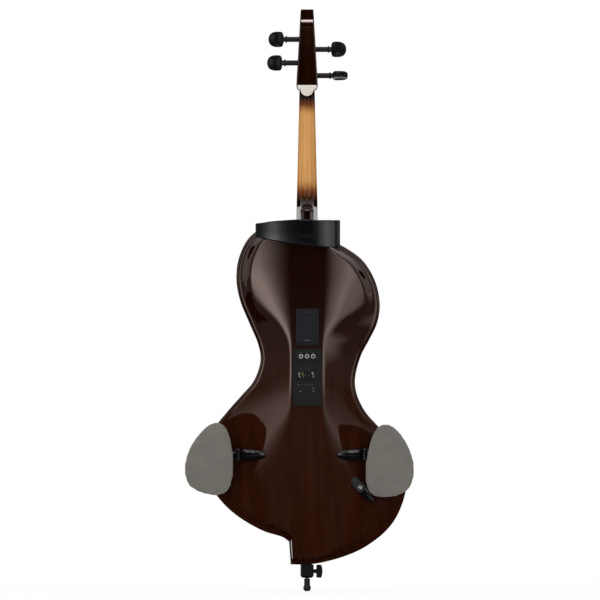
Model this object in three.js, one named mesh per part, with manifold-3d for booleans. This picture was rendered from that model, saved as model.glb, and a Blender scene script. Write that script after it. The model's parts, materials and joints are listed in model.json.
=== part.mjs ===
// Electric cello with a carved hollow body, knee rests, a chest rest and a built-in preamp.
// Millimetres. +Z runs up the neck, the strings face +Y and the back faces -Y.
// The origin is the centre of the flat under the endpin's rubber foot.
import * as THREE from "three";
import { mergeVertices } from "three/addons/utils/BufferGeometryUtils.js";
import Module from "manifold-3d";

const wasm = await Module();
wasm.setup();

// Clearances that all pieces share
const gap = 0.3;
const overrun = 4;
const weld = 0.0001;

// Endpin, from the floor up
const swellSteps = 6;
const foot = { height: 27, ball: 8.3, neck: 6.3, flat: 4, floorOfBore: 8 };
const rod = { radius: 5, length: 420, travelRoom: 2 };
const collar = { radius: 14.3, height: 28.7, chamfer: 4, plug: 11, plugLength: 42 };
const wing = {
  shaft: 4,
  reach: 20,
  span: 14,
  width: 13.4,
  thick: 8,
  waist: 4.6,
  root: 1.6,
  corner: 2.5,
  flank: 3,
};
const wingBulgeShare = 0.6;

// Body
const shell = {
  length: 741,
  halfWidth: 224,
  seam: 14,
  sideDepth: 22,
  backRound: 9,
  wingRise: 25,
  stripHalf: 32.4,
  topEdge: 3,
  topRound: 3,
  topRise: 8,
  wall: 18,
  backSkin: 7,
  topSkin: 5,
  land: 22,
  endBlock: 64,
  neckBlock: 90,
};
// How far each line inward starts and leans, and where the rings of the carving lie along it
const edgeLimitShare = 0.45;
const marginLimitShare = 0.6;
const leastLeanShare = 0.5;
const roundTurns = [40, 90];
const hollowStepShares = [0, 0.35, 0.7, 1];
const faceStepShares = [0.22, 0.45, 0.72, 1];
const squeezeShare = 0.85;
const stripLengthShare = 0.95;
const wingSlopeShare = 0.45;
const leftOutlineShares = [
  [-0.04, 0.994],
  [-0.194, 1],
  [-0.358, 0.994],
  [-0.483, 0.974],
  [-0.579, 0.946],
  [-0.664, 0.888],
  [-0.683, 0.83],
  [-0.648, 0.771],
  [-0.554, 0.701],
  [-0.473, 0.642],
  [-0.45, 0.597],
  [-0.51, 0.538],
  [-0.636, 0.492],
  [-0.773, 0.445],
  [-0.922, 0.384],
  [-0.994, 0.302],
  [-0.946, 0.238],
  [-0.838, 0.188],
  [-0.676, 0.142],
  [-0.425, 0.098],
  [-0.232, 0.079],
  [-0.176, 0.067],
];
const rightOutlineShares = [
  [-0.159, 0],
  [-0.001, 0],
  [0.134, 0.005],
  [0.373, 0.025],
  [0.548, 0.049],
  [0.752, 0.095],
  [0.869, 0.142],
  [0.952, 0.212],
  [0.961, 0.264],
  [0.879, 0.334],
  [0.701, 0.398],
  [0.564, 0.445],
  [0.486, 0.492],
  [0.463, 0.538],
  [0.519, 0.608],
  [0.6, 0.655],
  [0.673, 0.701],
  [0.702, 0.748],
  [0.688, 0.795],
  [0.636, 0.841],
  [0.534, 0.888],
  [0.395, 0.92],
  [0.221, 0.949],
  [0.067, 0.978],
];

// Neck and head
const neck = {
  length: 288,
  overstand: 22,
  nutHalf: 16.6,
  heelHalf: 23.5,
  nutDepth: 19,
  heelDepth: 24,
  footDepth: 64,
  heelHeight: 44,
  tenon: 56,
  flatSide: 4,
};
const neckSteps = 8;
const heelShares = [
  [0, 1],
  [0.1, 0.96],
  [0.3, 0.74],
  [0.55, 0.36],
  [0.8, 0.1],
  [1, 0],
];
const head = {
  length: 171,
  bottomHalf: 23.8,
  topHalf: 13.8,
  shoulder: 6,
  chamfer: 3,
  slotStart: 11,
  slotEnd: 128,
  slotHalf: 11.5,
  slotTopHalf: 8,
  slotFloor: 9,
  chinRadius: 16.2,
  chinDrop: 23,
  chinDepth: 17,
};
const headSideShares = [
  [-0.035, 0, 0.68],
  [0.04, 0, 0.82],
  [0.08, 0.06, 0.86],
  [0.77, -0.2, 1.06],
  [0.95, -0.32, 0.82],
  [1, -0.44, 0.7],
];
const headDepth = 50;
const headEdgeShares = [0.9, 1, 1, 1, 0.98, 0.88];

// Strings, fingerboard, nut, bridge and tailpiece
const stringLength = 690;
const crownSteps = 8;
const board = { bridgeRoom: 109.7, endHalf: 29, thick: 12, edge: 7.5 };
const nut = { width: 6, height: 1, span: 23 };
const bridge = {
  half: 44,
  foot: 26,
  footHeight: 7,
  archHeight: 17,
  topHalf: 31,
  topEdge: 5,
  thick: 5,
  crown: 70,
  stringRise: 7,
  span: 47,
};
const pickup = { half: 42, width: 9, thick: 2.4 };
const tail = {
  loopReach: 24,
  topHalf: 28,
  bottomHalf: 13,
  thick: 8,
  crown: 3,
  afterLength: 107,
  topLift: 22,
  bottomLift: 9,
  span: 38,
};
const tuner = { radius: 4, shank: 2.2, height: 13, knurl: 8, inset: 16 };
const post = { radius: 6, head: 9, headHeight: 3, shank: 4, depth: 13, inset: 34 };
const loopRadius = 2;
const loopSteps = 10;
const stringRadii = { a: 0.5, d: 0.6, g: 0.75, c: 0.9 };
const nutPlaceShares = { a: -0.5, d: -0.167, g: 0.167, c: 0.5 };

// Pegs, from the nut up: the height of each above the nut, and its angle at rest
const peg = {
  shaft: 5.75,
  reach: 33,
  collar: 8,
  collarLength: 3.5,
  collarGap: 3.5,
  headLength: 33,
  headHalf: 16.8,
  headThick: 13,
  bevel: 3,
  entry: 3,
};
// Half of the grip's outline: its root, then three points for each of two curves
const gripShares = [
  [0, 0.35],
  [0, 1.05],
  [0.25, 1.05],
  [0.45, 0.98],
  [0.8, 0.85],
  [1, 0.4],
  [1, 0],
];
const pegHeights = { c: 28, a: 55.5, g: 84.7, d: 106.4 };
const pegAngles = { c: 75, a: 4, g: -6, d: 2 };
const pegDepthShares = { c: 0.46, a: 0.42, g: 0.38, d: 0.35 };
const winding = { turns: 2, gapAlong: 0.6, steps: 24, sides: 6, place: 6, inner: 2.5, standOff: 6.5 };
const outerStringShare = 0.3;
const steepShare = 0.9;

// Chest rest
const chest = {
  middle: -20,
  half: 91.4,
  thick: 8,
  standOff: 20,
  sweep: 260,
  round: 2.5,
  postRadius: 7,
  postSpread: 39,
  postDrop: 37,
  over: 4.7,
  height: 61.7,
};
const chestEdgeShares = [
  [0, 0.862, 0.389],
  [0.06, 0.878, 0.344],
  [0.18, 0.932, 0.266],
  [0.27, 0.956, 0.224],
  [0.51, 1, 0.104],
  [0.72, 0.979, 0.049],
  [0.9, 0.976, 0.013],
  [1, 0.976, 0],
];

// Knee rests. Sizes run outwards from the middle of the body.
const rest = {
  height: 294.8,
  length: 61,
  tailGap: 7,
  pinRadius: 2.5,
  pinOver: 1.5,
  knuckle: 6.5,
  tongueHalf: 6.2,
  rise: 13,
  armHalf: 7,
  armThick: 8,
  bossRadius: 11,
  stud: 4,
  armDrop: 1.5,
  armEdge: 1.5,
  shoulder: 4,
  pinSet: 2,
  padDrop: 8.5,
  plateGap: 1.5,
  plateThick: 4,
  padThick: 15,
  sink: 20,
};
const kneeLeft = { name: "left", side: -1, pinShare: 0.67, padReach: 62, lift: 0, tiltAngle: 0 };
const kneeRight = { name: "right", side: 1, pinShare: 0.558, padReach: 55.5, lift: 5, tiltAngle: 5 };
const domeSteps = 6;
const bracketShares = [
  [0, 0.26, 0.6],
  [0.05, 0.48, 0.78],
  [0.2, 0.74, 0.92],
  [0.45, 0.92, 1],
  [0.75, 1, 1],
  [1, 1, 0.98],
];
const pad = { half: 52, halfHeight: 78, plateShare: 0.84 };
const padShares = [
  [0.22, 1],
  [0.58, 0.95],
  [0.82, 0.69],
  [0.94, 0.34],
  [1, -0.11],
  [0.96, -0.52],
  [0.82, -0.82],
  [0.56, -0.97],
  [0.2, -1],
  [-0.13, -0.97],
  [-0.49, -0.88],
  [-0.85, -0.69],
  [-0.99, -0.34],
  [-0.94, 0],
  [-0.75, 0.34],
  [-0.49, 0.62],
  [-0.13, 0.88],
];
const padCrownShares = [
  [0.93, 0],
  [1, 0.3],
  [1, 0.62],
  [0.94, 0.86],
  [0.75, 0.95],
  [0.4, 1],
];

// Side support, a small bracket with a swinging arm
const support = {
  x: 115.3,
  z: 224.6,
  angle: -49,
  length: 41,
  half: 10,
  rise: 10,
  armLength: 27,
  armHalf: 11,
  armThick: 6,
  screw: 3,
  screwHead: 4.6,
  screwHeight: 2,
  screwDepth: 6,
  step: 4,
  armTip: 9,
  armEdge: 1.2,
  armRise: 8,
  depth: 12,
};

// Preamp and battery box, placed from the bottom of the body
const preamp = {
  middle: 0.9,
  top: 466.9,
  half: 31.3,
  height: 124.2,
  plate: 2.2,
  boxHalf: 28,
  boxDepth: 24,
  wall: 2,
  margin: 4,
};
const socketStrip = { half: 27.6, top: 2.2, height: 23.8, thick: 5, socketDrop: 16.9 };
const jack = {
  bore: 3.2,
  barrel: 4.2,
  ring: 4.8,
  casing: 6.2,
  wall: 1.5,
  proud: 1.6,
  depth: 26,
  pitch: 13.2,
  offset: 0.9,
  segments: 20,
};
const slider = {
  first: -18.6,
  pitch: 7.35,
  slotTop: 50.8,
  slotHeight: 19.4,
  slotHalf: 1.1,
  stemHalf: 0.75,
  stemTall: 3,
  knobHalf: 1.6,
  knobTall: 3.6,
  knobHigh: 2.4,
};
const sliderPlaceShares = [0.12, 0.12, 0.3, 0.34, 0.06];
const button = { halfWidth: 4, halfHeight: 1.9, proud: 1.6, drop: 92.5, places: [-15.2, 12.8], travel: 1.2 };
const lamp = { radius: 1.6, x: 13.4, drop: 86.3, proud: 0.8 };
const circuit = { thick: 1.6, top: 32, chipHalf: 7, chipHigh: 3, chipDrop: 70, standOff: 11.5 };
const batteryBox = {
  middle: 0.7,
  top: 553,
  half: 24.5,
  height: 79,
  plate: 2.2,
  wellHalf: 17,
  wellHeight: 66,
  depth: 24,
  wall: 2,
};
const door = { half: 19.5, height: 69, slotHalf: 3.4, slotHigh: 2.4, slotDrop: 7 };
const battery = { half: 13, height: 48, thick: 17 };

// Places that follow from the sizes above
const collarBottom = foot.height + rod.travelRoom;
const bodyBottom = collarBottom + collar.height + gap;
const bodyTop = bodyBottom + shell.length;
const backEdge = shell.seam - shell.sideDepth;
const stripY = backEdge - shell.backRound - shell.wingRise;
const crestY = shell.seam + shell.topEdge + shell.topRound + shell.topRise;
const neckFace = crestY + neck.overstand;
const nutZ = bodyTop + neck.length;
const bridgeZ = nutZ - stringLength;

function solid(geometry) {
  const bare = geometry.clone();
  bare.deleteAttribute("normal");
  bare.deleteAttribute("uv");
  const merged = mergeVertices(bare, weld);
  return new wasm.Manifold(
    new wasm.Mesh({
      numProp: 3,
      vertProperties: merged.attributes.position.array,
      triVerts: new Uint32Array(merged.index.array),
    }),
  );
}

function geometryOf(made) {
  const mesh = made.getMesh();
  const geometry = new THREE.BufferGeometry();
  geometry.setAttribute("position", new THREE.BufferAttribute(new Float32Array(mesh.vertProperties), 3));
  geometry.setIndex(new THREE.BufferAttribute(new Uint32Array(mesh.triVerts), 1));
  geometry.computeVertexNormals();
  return geometry;
}

// A closed skin through rings of equally many points, with a fan from its middle over each end.
// It is turned the right way out, whichever way the rings run.
function loft(rings) {
  const count = rings[0].length;
  const points = rings.flat();
  const middles = [rings[0], rings[rings.length - 1]].map((ring) =>
    ring.reduce((sum, p) => sum.add(p), new THREE.Vector3()).divideScalar(count),
  );
  const faces = [];
  for (let r = 0; r + 1 < rings.length; r++) {
    for (let i = 0; i < count; i++) {
      const a = r * count + i;
      const b = r * count + ((i + 1) % count);
      faces.push([a, b, b + count], [a, b + count, a + count]);
    }
  }
  const last = (rings.length - 1) * count;
  for (let i = 0; i < count; i++) {
    const next = (i + 1) % count;
    faces.push([next, i, points.length], [last + i, last + next, points.length + 1]);
  }
  points.push(...middles);
  const volume = faces.reduce((sum, [a, b, c]) => {
    const normal = new THREE.Vector3().crossVectors(points[b], points[c]);
    return sum + points[a].dot(normal);
  }, 0);
  const turned = volume < 0 ? faces.map(([a, b, c]) => [a, c, b]) : faces;
  const geometry = new THREE.BufferGeometry();
  geometry.setAttribute("position", new THREE.Float32BufferAttribute(points.flatMap((p) => p.toArray()), 3));
  geometry.setIndex(turned.flat());
  return geometry;
}

const point = (x, y, z) => new THREE.Vector3(x, y, z);

function box(x0, x1, y0, y1, z0, z1) {
  const made = new THREE.BoxGeometry(x1 - x0, y1 - y0, z1 - z0);
  return made.translate((x0 + x1) / 2, (y0 + y1) / 2, (z0 + z1) / 2);
}

// Cylinders along each axis, between two places on it
function rodX(radius, from, to, y, z, segments = 16) {
  const made = new THREE.CylinderGeometry(radius, radius, to - from, segments);
  return made.rotateZ(-Math.PI / 2).translate((from + to) / 2, y, z);
}

function rodY(radius, from, to, x, z, segments = 16) {
  const made = new THREE.CylinderGeometry(radius, radius, to - from, segments);
  return made.translate(x, (from + to) / 2, z);
}

function rodZ(radius, from, to, x, y, segments = 16) {
  const made = new THREE.CylinderGeometry(radius, radius, to - from, segments);
  return made.rotateX(Math.PI / 2).translate(x, y, (from + to) / 2);
}

// A turned piece from pairs of radius and place along its axis, standing on +Z
function turnedZ(profile, segments) {
  const points = profile.map(([radius, along]) => new THREE.Vector2(radius, along));
  return new THREE.LatheGeometry(points, segments).rotateX(Math.PI / 2);
}

function union(...geometries) {
  return geometries.map(solid).reduce((sum, next) => sum.add(next));
}

// A round tube through points, with its section turned along it by the shortest way
function tube(points, radius, sides) {
  const along = (i) => {
    const before = points[Math.max(i - 1, 0)];
    const after = points[Math.min(i + 1, points.length - 1)];
    return after.clone().sub(before).normalize();
  };
  const direction = along(0);
  const helper = Math.abs(direction.x) < steepShare ? point(1, 0, 0) : point(0, 1, 0);
  let across = helper.cross(direction).normalize();
  let previous = direction;
  const rings = points.map((p, i) => {
    const ahead = along(i);
    across = across.clone().applyQuaternion(new THREE.Quaternion().setFromUnitVectors(previous, ahead));
    previous = ahead;
    const up = ahead.clone().cross(across);
    return Array.from({ length: sides }, (_, k) => {
      const angle = (2 * Math.PI * k) / sides;
      const offset = across.clone().multiplyScalar(Math.cos(angle)).addScaledVector(up, Math.sin(angle));
      return p.clone().addScaledVector(offset, radius);
    });
  });
  return loft(rings);
}

// Body outline in X and Z, with the line from each point of it to the flat middle strip

const outlinePoint = ([x, z]) => point(x * shell.halfWidth, 0, bodyBottom + z * shell.length);

function bodyOutline() {
  const top = outlinePoint(leftOutlineShares[0]);
  const left = new THREE.CatmullRomCurve3(leftOutlineShares.map(outlinePoint), false, "centripetal");
  const right = new THREE.CatmullRomCurve3(
    [...rightOutlineShares.map(outlinePoint), top],
    false,
    "centripetal",
  );
  const down = left.getPoints(2 * (leftOutlineShares.length - 1));
  const up = right.getPoints(2 * rightOutlineShares.length);
  const notch = down[down.length - 1].clone().lerp(up[0], 0.5);
  return [...down, notch, ...up.slice(0, -1)];
}

const outline = bodyOutline();
const bodyMiddle = bodyBottom + shell.length / 2;

function linesInward(round) {
  return outline.map((p, i) => {
    const before = outline[(i + outline.length - 1) % outline.length];
    const after = outline[(i + 1) % outline.length];
    const run = after.clone().sub(before).normalize();
    const inward = point(-run.z, 0, run.x);
    const target = point(
      THREE.MathUtils.clamp(squeezeShare * p.x, -shell.stripHalf, shell.stripHalf),
      0,
      bodyMiddle + stripLengthShare * (p.z - bodyMiddle),
    );
    const line = target.clone().sub(p);
    const length = line.length();
    const direction = line.divideScalar(length);
    const lean = Math.max(leastLeanShare, Math.abs(direction.dot(inward)));
    return { p, direction, length, lean, edge: Math.min(round / lean, edgeLimitShare * length) };
  });
}

// One carved half of the body: back or top. The outside has no margin; its hollow starts a margin
// inside the outline and stays a skin under the outer face.
function carved(half, margin, skin) {
  const lines = linesInward(half.round);
  const height = (line, along) => {
    if (along < line.edge) {
      return half.round * Math.sin(Math.acos(1 - along / line.edge));
    }
    const t = (along - line.edge) / (line.length - line.edge);
    const swell = half.slopeShare * t + (1 - half.slopeShare) * (2 * t - t * t);
    return half.round + half.rise * swell;
  };
  const place = (line, along, y) => line.p.clone().addScaledVector(line.direction, along).setY(y);
  const start = (line) => Math.min(margin / line.lean, marginLimitShare * line.length);
  const base = margin ? shell.seam - half.out * overrun : shell.seam;
  const rings = [
    lines.map((l) => place(l, l.length, base)),
    lines.map((l) => place(l, start(l), base)),
  ];
  if (!margin) {
    rings.push(lines.map((l) => place(l, 0, half.edge)));
    for (const turn of roundTurns) {
      const share = 1 - Math.cos(THREE.MathUtils.degToRad(turn));
      rings.push(
        lines.map((l) => place(l, share * l.edge, half.edge + half.out * height(l, share * l.edge))),
      );
    }
  }
  for (const share of margin ? hollowStepShares : faceStepShares) {
    rings.push(
      lines.map((l) => {
        const from = margin ? start(l) : l.edge;
        const along = from + share * (l.length - from);
        return place(l, along, half.edge + half.out * (height(l, along) - skin));
      }),
    );
  }
  return solid(loft(rings));
}

const backHalf = {
  out: -1,
  edge: backEdge,
  round: shell.backRound,
  rise: shell.wingRise,
  slopeShare: wingSlopeShare,
};
const topHalf = {
  out: 1,
  edge: shell.seam + shell.topEdge,
  round: shell.topRound,
  rise: shell.topRise,
  slopeShare: 0,
};
const backOutside = carved(backHalf, 0, 0);
const endBlockTop = bodyBottom + shell.endBlock;
const neckBlockBottom = bodyTop - shell.neckBlock;

function hollowOf(half, margin, skin) {
  const blocks = solid(
    box(-shell.halfWidth, shell.halfWidth, stripY, crestY, endBlockTop, neckBlockBottom),
  );
  return carved(half, margin, skin).intersect(blocks);
}

// Neck, heel, head and chin, all of one piece of maple

function neckRing(z, half, depth) {
  const side = neckFace - neck.flatSide;
  const back = depth - neck.flatSide;
  const round = Array.from({ length: neckSteps + 1 }, (_, k) => {
    const angle = Math.PI + (Math.PI * k) / neckSteps;
    return point(half * Math.cos(angle), side + back * Math.sin(angle), z);
  });
  return [point(half, neckFace, z), point(-half, neckFace, z), ...round];
}

const headBottom = nutZ - head.shoulder;
const headHalfAt = (z) =>
  THREE.MathUtils.mapLinear(z, nutZ, nutZ + head.length, head.bottomHalf, head.topHalf);

// Front and back of the head at a height, read off its side view
function headSideAt(z) {
  const share = (z - nutZ) / head.length;
  const after = Math.max(1, headSideShares.findIndex(([s]) => s >= share));
  const [s0, f0, b0] = headSideShares[after - 1];
  const [s1, f1, b1] = headSideShares[after];
  const front = THREE.MathUtils.mapLinear(share, s0, s1, f0, f1);
  const back = THREE.MathUtils.mapLinear(share, s0, s1, b0, b1);
  return { front: neckFace + headDepth * front, back: neckFace - headDepth * back };
}

function headRing([share, frontShare, backShare], k) {
  const z = nutZ + share * head.length;
  const half = headHalfAt(z) * headEdgeShares[k];
  const front = neckFace + headDepth * frontShare;
  const back = neckFace - headDepth * backShare;
  const c = head.chamfer;
  return [
    point(half, front - c, z),
    point(half - c, front, z),
    point(c - half, front, z),
    point(-half, front - c, z),
    point(-half, back + c, z),
    point(c - half, back, z),
    point(half - c, back, z),
    point(half, back + c, z),
  ];
}

const slotBottom = nutZ + head.slotStart;
const slotTop = nutZ + head.slotEnd;
const pegNames = Object.keys(pegHeights);
const pegs = pegNames.map((name) => {
  const z = nutZ + pegHeights[name];
  const side = headSideAt(z);
  const y = side.front - (side.front - side.back) * pegDepthShares[name];
  return { name, z, y, out: nutPlaceShares[name] < 0 ? -1 : 1, boxHalf: headHalfAt(z) };
});

function neckSolid() {
  const heelTop = bodyTop + neck.heelHeight;
  const tenonBottom = bodyTop - neck.tenon;
  const halfAt = (z) => THREE.MathUtils.mapLinear(z, nutZ, bodyTop, neck.nutHalf, neck.heelHalf);
  const heelRings = heelShares.map(([up, deep]) => {
    const z = bodyTop + up * neck.heelHeight;
    return neckRing(z, halfAt(z), neck.heelDepth + deep * (neck.footDepth - neck.heelDepth));
  });
  const shaft = loft([
    neckRing(tenonBottom, neck.heelHalf, neck.footDepth),
    ...heelRings,
    neckRing((heelTop + nutZ) / 2, halfAt((heelTop + nutZ) / 2), (neck.heelDepth + neck.nutDepth) / 2),
    neckRing(nutZ, neck.nutHalf, neck.nutDepth),
  ]);
  const block = loft(headSideShares.map(headRing));
  const chin = new THREE.SphereGeometry(1, 16, 10);
  chin.scale(head.chinRadius, head.chinDepth, head.chinDrop - head.shoulder);
  chin.translate(0, neckFace - neck.nutDepth - head.shoulder, headBottom);
  const low = headSideAt(slotBottom);
  const high = headSideAt(slotTop);
  const slotRing = (z, half, floor) => [
    point(half, floor, z),
    point(half, low.front + overrun, z),
    point(-half, low.front + overrun, z),
    point(-half, floor, z),
  ];
  const slot = loft([
    slotRing(slotBottom, head.slotHalf, low.back + head.slotFloor),
    slotRing(slotTop, head.slotTopHalf, high.back + head.slotFloor),
  ]);
  const holes = pegs.map(({ y, z }) =>
    rodX(peg.shaft + gap, -head.bottomHalf - overrun, head.bottomHalf + overrun, y, z, 20),
  );
  return union(shaft, block, chin).subtract(union(slot, ...holes));
}

// Pegs: a shaft right through the head, a collar and a heart-shaped grip

function pegSolid(boxHalf) {
  const grip = boxHalf + peg.reach;
  const collarEnd = grip - peg.collarGap;
  const shaft = rodX(peg.shaft, -boxHalf, grip + peg.entry, 0, 0, 20);
  const ring = rodX(peg.collar, collarEnd - peg.collarLength, collarEnd, 0, 0, 20);
  const inner = peg.bevel;
  const shape = new THREE.Shape();
  const r = peg.headHalf - inner;
  const l = peg.headLength - 2 * inner;
  const below = gripShares.map(([along, wide]) => [l * along, -r * wide]);
  const above = below.map(([along, wide]) => [along, -wide]).reverse();
  shape.moveTo(...below[0]);
  for (const side of [below, above]) {
    shape.bezierCurveTo(...side[1], ...side[2], ...side[3]);
    shape.bezierCurveTo(...side[4], ...side[5], ...side[6]);
  }
  const heart = new THREE.ExtrudeGeometry(shape, {
    depth: peg.headThick - 2 * inner,
    bevelThickness: inner,
    bevelSize: inner,
    bevelSegments: 2,
    curveSegments: 5,
  });
  heart.translate(grip + inner, 0, inner - peg.headThick / 2).rotateX(-Math.PI / 2);
  return union(shaft, ring, heart);
}

// String windings on the pegs, and the strings themselves

function windingPlace(name) {
  const share = nutPlaceShares[name];
  return Math.sign(share) * (Math.abs(share) > outerStringShare ? winding.place : winding.inner);
}

function windingPoints(name) {
  const wire = stringRadii[name];
  const radius = peg.shaft + gap + wire;
  const pitch = 2 * wire + winding.gapAlong;
  const start = windingPlace(name);
  const { y, z } = pegs.find((p) => p.name === name);
  const count = winding.turns * winding.steps;
  return Array.from({ length: count + 1 }, (_, k) => {
    const turn = k / winding.steps;
    const angle = 2 * Math.PI * turn;
    const x = start - Math.sign(start) * pitch * turn;
    return point(x, y + radius * Math.cos(angle), z + radius * Math.sin(angle));
  });
}

// The least gap between one turn of a winding and the next
function leastWindingGap(name) {
  const points = windingPoints(name);
  let least = Infinity;
  points.forEach((p, i) => {
    for (let j = i + winding.steps / 2; j < points.length; j++) {
      least = Math.min(least, p.distanceTo(points[j]) - 2 * stringRadii[name]);
    }
  });
  return least;
}

const fingerboardCrown = neckFace + gap + board.thick;
const crownDrop = (x) => (x * x) / (2 * bridge.crown);
const nutPlace = (name) => nutPlaceShares[name] * nut.span;
const bridgePlace = (name) => nutPlaceShares[name] * bridge.span;
const tailPlace = (name) => nutPlaceShares[name] * tail.span;
const nutTop = fingerboardCrown + nut.height;
const bridgeTop = nutTop + bridge.stringRise;
const nutHeightAt = (x) => nutTop - crownDrop(x);
const bridgeHeightAt = (x) => bridgeTop - crownDrop(x);
const tailTopZ = bridgeZ - tail.afterLength;
const postZ = bodyBottom + post.inset;
const tailBottomZ = postZ + tail.loopReach;
const tailLength = tailTopZ - tailBottomZ;
const tailTopY = crestY + tail.topLift;
const tailBottomY = crestY + tail.bottomLift;

function stringPoints(name) {
  const wire = stringRadii[name];
  const above = gap + wire;
  const { y, z } = pegs.find((p) => p.name === name);
  const over = point(nutPlace(name), nutHeightAt(nutPlace(name)) + above, nutZ + nut.width);
  const wrap = point(windingPlace(name), y + peg.shaft + gap + wire, z);
  const reach = over.distanceTo(wrap);
  const end = over.clone().lerp(wrap, 1 - winding.standOff / reach);
  const tailEnd = point(tailPlace(name), tailTopY + tail.thick / 2, tailTopZ + gap + wire);
  const onBridge = point(bridgePlace(name), bridgeHeightAt(bridgePlace(name)) + above, bridgeZ);
  return [tailEnd, onBridge, over, end];
}

// Fingerboard, nut, bridge, pickup and tailpiece

function crownedRing(z, half, bottom, edge, top) {
  const arc = Array.from({ length: crownSteps + 1 }, (_, k) => {
    const share = 1 - (2 * k) / crownSteps;
    return point(half * share, edge + (top - edge) * (1 - share * share), z);
  });
  return [point(half, bottom, z), ...arc, point(-half, bottom, z)];
}

function fingerboardGeometry() {
  const bottom = neckFace + gap;
  return loft([
    crownedRing(bridgeZ + board.bridgeRoom, board.endHalf, bottom, bottom + board.edge, bottom + board.thick),
    crownedRing(nutZ - gap, neck.nutHalf, bottom, bottom + board.edge, bottom + board.thick),
  ]);
}

function nutGeometry() {
  const bottom = neckFace + gap;
  const edge = nutHeightAt(neck.nutHalf);
  return loft([
    crownedRing(nutZ, neck.nutHalf, bottom, edge, nutTop),
    crownedRing(nutZ + nut.width - gap, neck.nutHalf, bottom, edge, nutTop),
  ]);
}

function bridgeGeometry() {
  const base = crestY + 2 * gap + pickup.thick;
  const top = (x) => bridgeHeightAt(x);
  const shape = new THREE.Shape();
  shape.moveTo(-bridge.half, base);
  shape.lineTo(bridge.foot - bridge.half, base);
  shape.quadraticCurveTo(0, base + 2 * bridge.archHeight, bridge.half - bridge.foot, base);
  shape.lineTo(bridge.half, base);
  shape.lineTo(bridge.half, base + bridge.footHeight);
  shape.lineTo(bridge.topHalf, top(bridge.topHalf) - bridge.topEdge);
  shape.lineTo(bridge.topHalf, top(bridge.topHalf));
  for (let k = 1; k < crownSteps; k++) {
    const x = bridge.topHalf * (1 - (2 * k) / crownSteps);
    shape.lineTo(x, top(x));
  }
  shape.lineTo(-bridge.topHalf, top(bridge.topHalf));
  shape.lineTo(-bridge.topHalf, top(bridge.topHalf) - bridge.topEdge);
  shape.lineTo(-bridge.half, base + bridge.footHeight);
  const options = { depth: bridge.thick, bevelEnabled: false, curveSegments: 8 };
  const made = new THREE.ExtrudeGeometry(shape, options);
  return made.translate(0, 0, bridgeZ - bridge.thick / 2);
}

function tailpieceSolid() {
  const bar = loft([
    crownedRing(tailBottomZ, tail.bottomHalf, tailBottomY, tailBottomY + tail.thick - tail.crown,
      tailBottomY + tail.thick),
    crownedRing(tailTopZ, tail.topHalf, tailTopY, tailTopY + tail.thick - tail.crown, tailTopY + tail.thick),
  ]);
  const over = tailTopY + tuner.height;
  const holeZ = tailTopZ - tuner.inset;
  const holes = pegNames.map((name) =>
    rodY(tuner.shank + gap, tailBottomY, over, tailPlace(name), holeZ, 12),
  );
  return solid(bar).subtract(union(...holes));
}

function tunerGeometry() {
  const knurled = tuner.height - tuner.knurl + 2 * gap;
  return new THREE.LatheGeometry(
    [
      [0, -tail.thick],
      [tuner.shank, -tail.thick],
      [tuner.shank, knurled],
      [tuner.radius, knurled],
      [tuner.radius, tuner.height],
      [0, tuner.height],
    ].map(([x, y]) => new THREE.Vector2(x, y)),
    14,
  );
}

const loopY = tailBottomY + tail.thick / 2;
const postTop = loopY + loopRadius + gap + post.headHeight;

function postSolid() {
  return union(
    rodY(post.shank, crestY - post.depth, crestY + overrun, 0, postZ, 16),
    rodY(post.radius, crestY + gap, postTop - overrun / 2, 0, postZ, 20),
    rodY(post.head, postTop - post.headHeight, postTop, 0, postZ, 20),
  );
}

function loopPoints() {
  const radius = post.radius + gap + loopRadius;
  const ends = tailBottomZ - gap;
  const round = Array.from({ length: loopSteps + 1 }, (_, k) => {
    const angle = Math.PI * (1 + k / loopSteps);
    return point(radius * Math.cos(angle), loopY, postZ + radius * Math.sin(angle));
  });
  return [point(-radius, loopY, ends), ...round, point(radius, loopY, ends)];
}

// Endpin

const wingZ = bodyBottom - gap - collar.height / 2;

function collarSolid() {
  const bottom = collarBottom;
  const top = bodyBottom - gap;
  const bore = rod.radius + gap;
  const profile = [
    [bore, bottom],
    [collar.radius - collar.chamfer, bottom],
    [collar.radius, bottom + collar.chamfer],
    [collar.radius, top],
    [collar.plug, top],
    [collar.plug, bodyBottom + collar.plugLength],
    [bore, bodyBottom + collar.plugLength],
    [bore, bottom],
  ];
  const hole = rodX(wing.shaft + gap, 0, collar.radius + overrun, 0, wingZ, 16);
  return solid(turnedZ(profile, 28)).subtract(solid(hole));
}

function wingSolid() {
  const start = rod.radius + gap;
  const hubStart = collar.radius + wing.root;
  const { reach, span, waist, corner } = wing;
  const end = reach + wing.width;
  const flank = end - wing.flank;
  const shape = new THREE.Shape();
  shape.moveTo(hubStart, -waist);
  shape.lineTo(reach, -waist);
  shape.lineTo(reach, corner - span);
  shape.quadraticCurveTo(reach, -span, reach + corner, -span);
  shape.lineTo(flank, -span);
  shape.quadraticCurveTo(end, -span * wingBulgeShare, end, 0);
  shape.quadraticCurveTo(end, span * wingBulgeShare, flank, span);
  shape.lineTo(reach + corner, span);
  shape.quadraticCurveTo(reach, span, reach, span - corner);
  shape.lineTo(reach, waist);
  shape.lineTo(hubStart, waist);
  const options = { depth: wing.thick, bevelEnabled: false, curveSegments: 4 };
  const blade = new THREE.ExtrudeGeometry(shape, options);
  blade.translate(0, 0, -wing.thick / 2).rotateX(Math.PI / 2);
  return union(rodX(wing.shaft, start, wing.reach + wing.root, 0, 0, 16), blade);
}

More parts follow.
